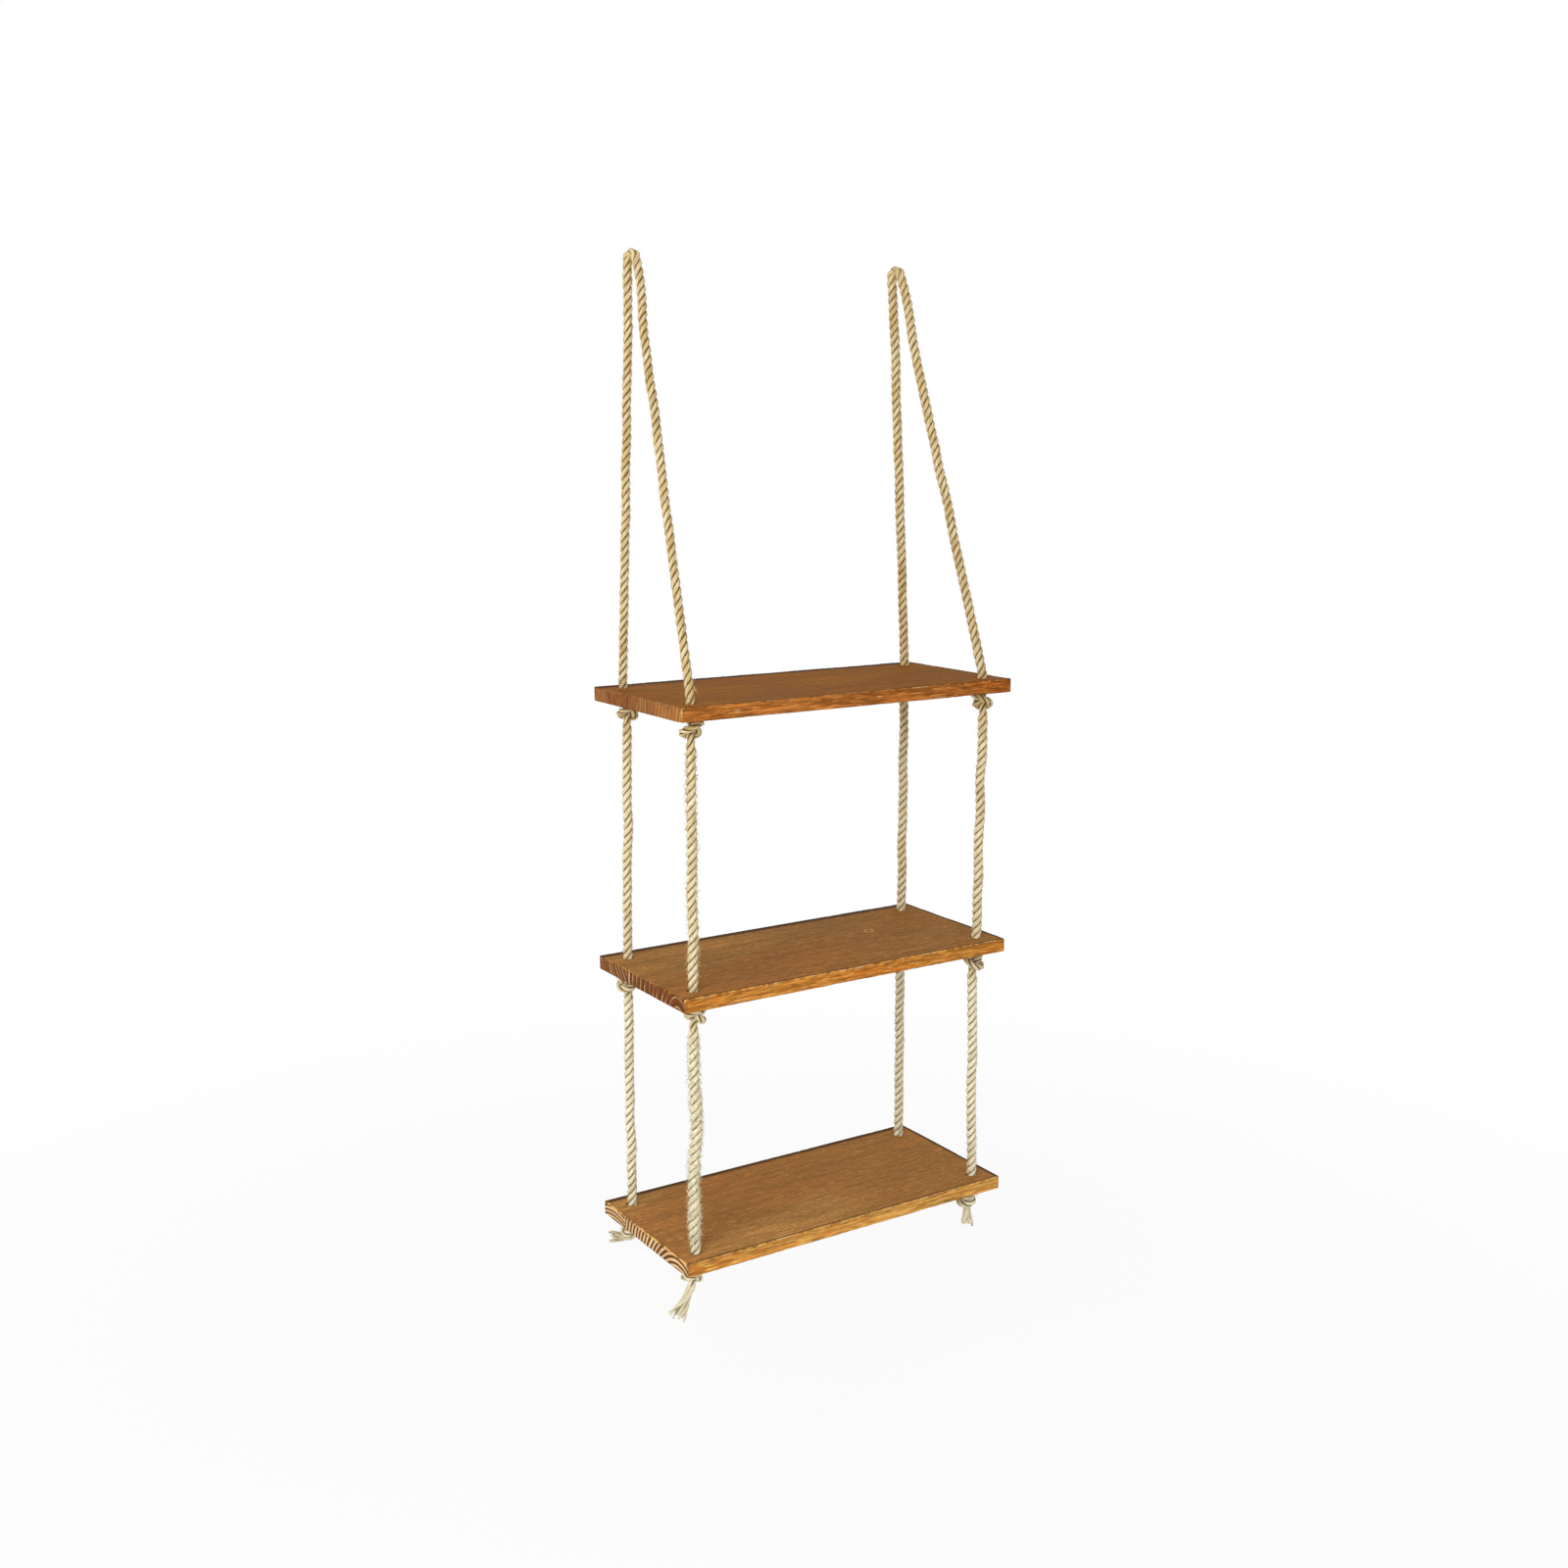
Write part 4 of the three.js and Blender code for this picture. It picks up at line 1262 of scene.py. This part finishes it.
class SHELF_OT_boards(bpy.types.Operator):
    """Makes the three drilled, stained and worn boards"""

    bl_idname = "shelf.boards"
    bl_label = "Boards"

    def execute(self, context):
        board = context.scene.shelf_board
        blank = blank_board(board)
        for tier in TIERS:
            piece = blank.copy()
            piece.data = blank.data.copy()
            piece.name = piece.data.name = f"{tier}_shelf_board"
            context.scene.collection.objects.link(piece)
            piece.data.transform(Matrix.Translation((0, 0, underside(tier) - underside("top"))))
            wear_board(piece, tier, board)
            piece.data.materials.clear()
            piece.data.materials.append(wood_material(tier, board))
            select_only(piece)
            bpy.ops.object.shade_smooth_by_angle(angle=SMOOTH_ANGLE)
            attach(piece, f"{tier}_shelf")
            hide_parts(f"{tier}_board")
        bpy.data.objects.remove(blank)
        return {"FINISHED"}


class SHELF_OT_hanging_ropes(bpy.types.Operator):
    """Lays the two ropes over their hooks, each with a crown and two legs"""

    bl_idname = "shelf.hanging_ropes"
    bl_label = "Hanging Ropes"

    def execute(self, context):
        seeds = itertools.count(SEEDS["legs"])
        for seed, side in enumerate(SIDES, SEEDS["crowns"]):
            crown, front, rear = hanging_lengths(side)
            piece = laid_rope(f"rope_over_{side}_hook", crown, "top", HANGER_FIBRES, seed)
            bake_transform(piece)
            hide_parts(f"crown_{side}", f"shoulder_front_{side}", f"shoulder_rear_{side}")
            for end, leg in (("front", front), ("rear", rear)):
                name = f"{end}_{side}_hanging_rope"
                tuft = (end, side) == ("front", "left")
                piece = laid_rope(name, leg, "top", HANGER_FIBRES, next(seeds), tuft=tuft)
                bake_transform(piece)
                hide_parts(f"hanger_{end}_{side}")
        return {"FINISHED"}


class SHELF_OT_knots(bpy.types.Operator):
    """Ties the twelve overhand knots below the boards"""

    bl_idname = "shelf.knots"
    bl_label = "Knots"

    def execute(self, context):
        for seed, (tier, corner) in enumerate(itertools.product(TIERS, CORNERS), SEEDS["knots"]):
            length = corner_lengths(corner)[f"{tier}_knot"]
            piece = laid_rope(f"{tier}_{corner}_knot", length, tier, LOWER_FIBRES, seed)
            self.press_flat(context, piece, tier, corner)
            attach(piece, f"{tier}_shelf")
            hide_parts(f"{tier}_knot_{corner}")
        return {"FINISHED"}

    def press_flat(self, context, piece, tier, corner):
        """Keeps a knot below the board that it is drawn up against."""
        board_z = underside(tier)
        x, y, _ = hanger_foot(corner)
        radius = context.scene.shelf_board.hole / 2 - HOLE_MARGIN
        for vertex in piece.data.vertices:
            beside = math.hypot(vertex.co.x - x, vertex.co.y - y) > radius
            if beside and board_z - PRESSED < vertex.co.z < board_z + PRESSED_REACH:
                vertex.co.z = board_z - PRESSED


class SHELF_OT_stretches(bpy.types.Operator):
    """Stretches the eight ropes between the boards"""

    bl_idname = "shelf.stretches"
    bl_label = "Ropes Between Boards"

    def execute(self, context):
        for seed, (tier, corner) in enumerate(itertools.product(TIERS[1:], CORNERS), SEEDS["stretches"]):
            length = corner_lengths(corner)[f"{tier}_rope"]
            fluffy = FLUFFY[tier] if corner == "front_left" else 0
            piece = laid_rope(f"{tier}_{corner}_rope", length, tier, LOWER_FIBRES, seed, fluffy)
            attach(piece, f"{tier}_{corner}_run")
            bends = [f"{tier}_{end}_bend_{corner}" for end in ("upper", "lower")]
            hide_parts(f"{tier}_rope_{corner}", *bends)
        return {"FINISHED"}


class SHELF_OT_frayed_ends(bpy.types.Operator):
    """Frays the four rope ends below the bottom board into yarns and fibres"""

    bl_idname = "shelf.frayed_ends"
    bl_label = "Frayed Ends"

    def execute(self, context):
        for seed, corner in enumerate(CORNERS, SEEDS["ends"]):
            parts = Parts()
            self.fray(parts, corner, random.Random(seed))
            piece = parts.piece(f"{corner}_frayed_end", "bottom")
            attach(piece, "bottom_shelf")
            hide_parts(f"tail_{corner}")
        return {"FINISHED"}

    def fray(self, parts, corner, rng):
        tail = TAILS[corner]
        above = corner_lengths(corner)["bottom_knot"]
        start = above.points[-1] - LAP * above.tangents[-1]
        side, forward = math.radians(tail["side"]), math.radians(tail["forward"])
        way = [math.sin(side), -math.cos(side) * math.sin(forward), -math.cos(side) * math.cos(forward)]
        bend = above.points[-1] - np.array([0, 0, TAIL_BEND])
        end = bend + np.array(way) * tail["length"]
        share = np.linspace(0, 1, TAIL_RINGS)[:, None]
        points = (1 - share) ** 2 * start + 2 * share * (1 - share) * bend + share**2 * end
        line = Length(points, np.zeros(TAIL_RINGS), above.facing_at(above.arc[-1] - LAP), TAIL_LAY)
        opened = (line.arc / line.arc[-1] - TAIL_OPENING) / (1 - TAIL_OPENING)
        spread = np.clip(opened, 0, 1)[:, None] ** 1.25
        for strand in range(STRANDS):
            ways = line.ways(TURN * strand / STRANDS)
            across = np.cross(line.tangents[-1], ways[-1])
            reach = {half: rng.uniform(0.75, 1.2) * tail["flare"] for half in (-1, 1)}
            for yarn in range(YARNS + 1):
                half = 1 if 0 < yarn <= YARNS / 2 else -1
                own_way = reach[half] * (math.cos(HALF_TURN) * ways[-1] + half * math.sin(HALF_TURN) * across)
                self.add_yarn(parts, line, ways, own_way * spread, spread, tail["flare"], strand, yarn, rng)

    def add_yarn(self, parts, line, ways, own_way, spread, flare, strand, yarn, rng):
        """One yarn of a strand, which ends in loose fibres. The last yarn is the strand's core."""
        core = yarn == YARNS
        twist = TURN * yarn / YARNS + TURN * YARN_TWIST * line.arc / line.lay
        ring = np.cos(twist)[:, None] * ways + np.sin(twist)[:, None] * np.cross(line.tangents, ways)
        stray = np.array([rng.gauss(0, 1), rng.gauss(0, 1), rng.gauss(0, 0.5)]) * 0.1 * flare
        centre = line.points + ways * STRAND_OFFSET * (1 - 0.5 * spread) + own_way
        centre = centre + ring * (0.0 if core else YARN_OFFSET) * (1 + 0.25 * spread) + stray * spread**2
        count = rng.randrange(SHORTEST_YARN, TAIL_RINGS)
        centre = centre[:count]
        tangents = unit(np.gradient(centre, axis=0))
        first = unit(np.cross(tangents, np.array([0.3, 1.0, 0.2])))
        angles = np.arange(YARN_SIDES) * TURN / YARN_SIDES
        radius = np.interp(np.linspace(0, 1, count), [0, 0.9, 1], [1.0, 1.0, 0.85]) * YARN_RADIUS
        rings, own = np.arange(count), yarn + 9 * strand
        rough = [noise_along(rings, 0.9, side * 1.3, own) for side in range(YARN_SIDES)]
        radius = radius[:, None] * (1 + 0.12 * np.stack(rough, axis=1))
        points = tube_points(centre, first, np.cross(tangents, first), angles, radius)
        # A core gets painted shade, the other yarns a little
        parts.add(points, lay_of(line.arc[:count] + 0.17 * yarn + strand, angles), 0.5 if core else 0.72)
        for _ in range(YARN_FIBRES):
            at = rng.randrange(count // 2, count)
            push = unit(np.array([rng.gauss(0, 1), rng.gauss(0, 1), rng.gauss(0, 1)]))
            add_fibre(parts, centre[at], tangents[at], push, rng.uniform(*YARN_FIBRE_LENGTHS), rng)


class SHELF_PT_panel(bpy.types.Panel):
    """Lists the shelf's pieces and their sizes"""

    bl_idname = "SHELF_PT_panel"
    bl_label = "Rope Shelf"
    bl_space_type = "VIEW_3D"
    bl_region_type = "UI"
    bl_category = "Rope Shelf"

    def draw(self, context):
        for operator in OPERATORS:
            self.layout.operator(operator.bl_idname)
        for name, group in GROUPS.items():
            box = self.layout.box()
            for setting in group.__annotations__:
                box.prop(getattr(context.scene, name), setting)


OPERATORS = (
    SHELF_OT_stage,
    SHELF_OT_boards,
    SHELF_OT_hanging_ropes,
    SHELF_OT_knots,
    SHELF_OT_stretches,
    SHELF_OT_frayed_ends,
)
GROUPS = {"shelf_board": BoardSettings, "shelf_rope": RopeSettings, "shelf_stage": StageSettings}


def register():
    for name, group in GROUPS.items():
        bpy.utils.register_class(group)
        setattr(bpy.types.Scene, name, bpy.props.PointerProperty(type=group))
    for kind in (*OPERATORS, SHELF_PT_panel):
        bpy.utils.register_class(kind)


def unregister():
    for kind in (SHELF_PT_panel, *reversed(OPERATORS)):
        bpy.utils.unregister_class(kind)
    for name, group in GROUPS.items():
        delattr(bpy.types.Scene, name)
        bpy.utils.unregister_class(group)


def main():
    register()
    bpy.ops.shelf.stage()
    bpy.ops.shelf.boards()
    bpy.ops.shelf.hanging_ropes()
    bpy.ops.shelf.knots()
    bpy.ops.shelf.stretches()
    bpy.ops.shelf.frayed_ends()


if __name__ == "__main__":
    main()
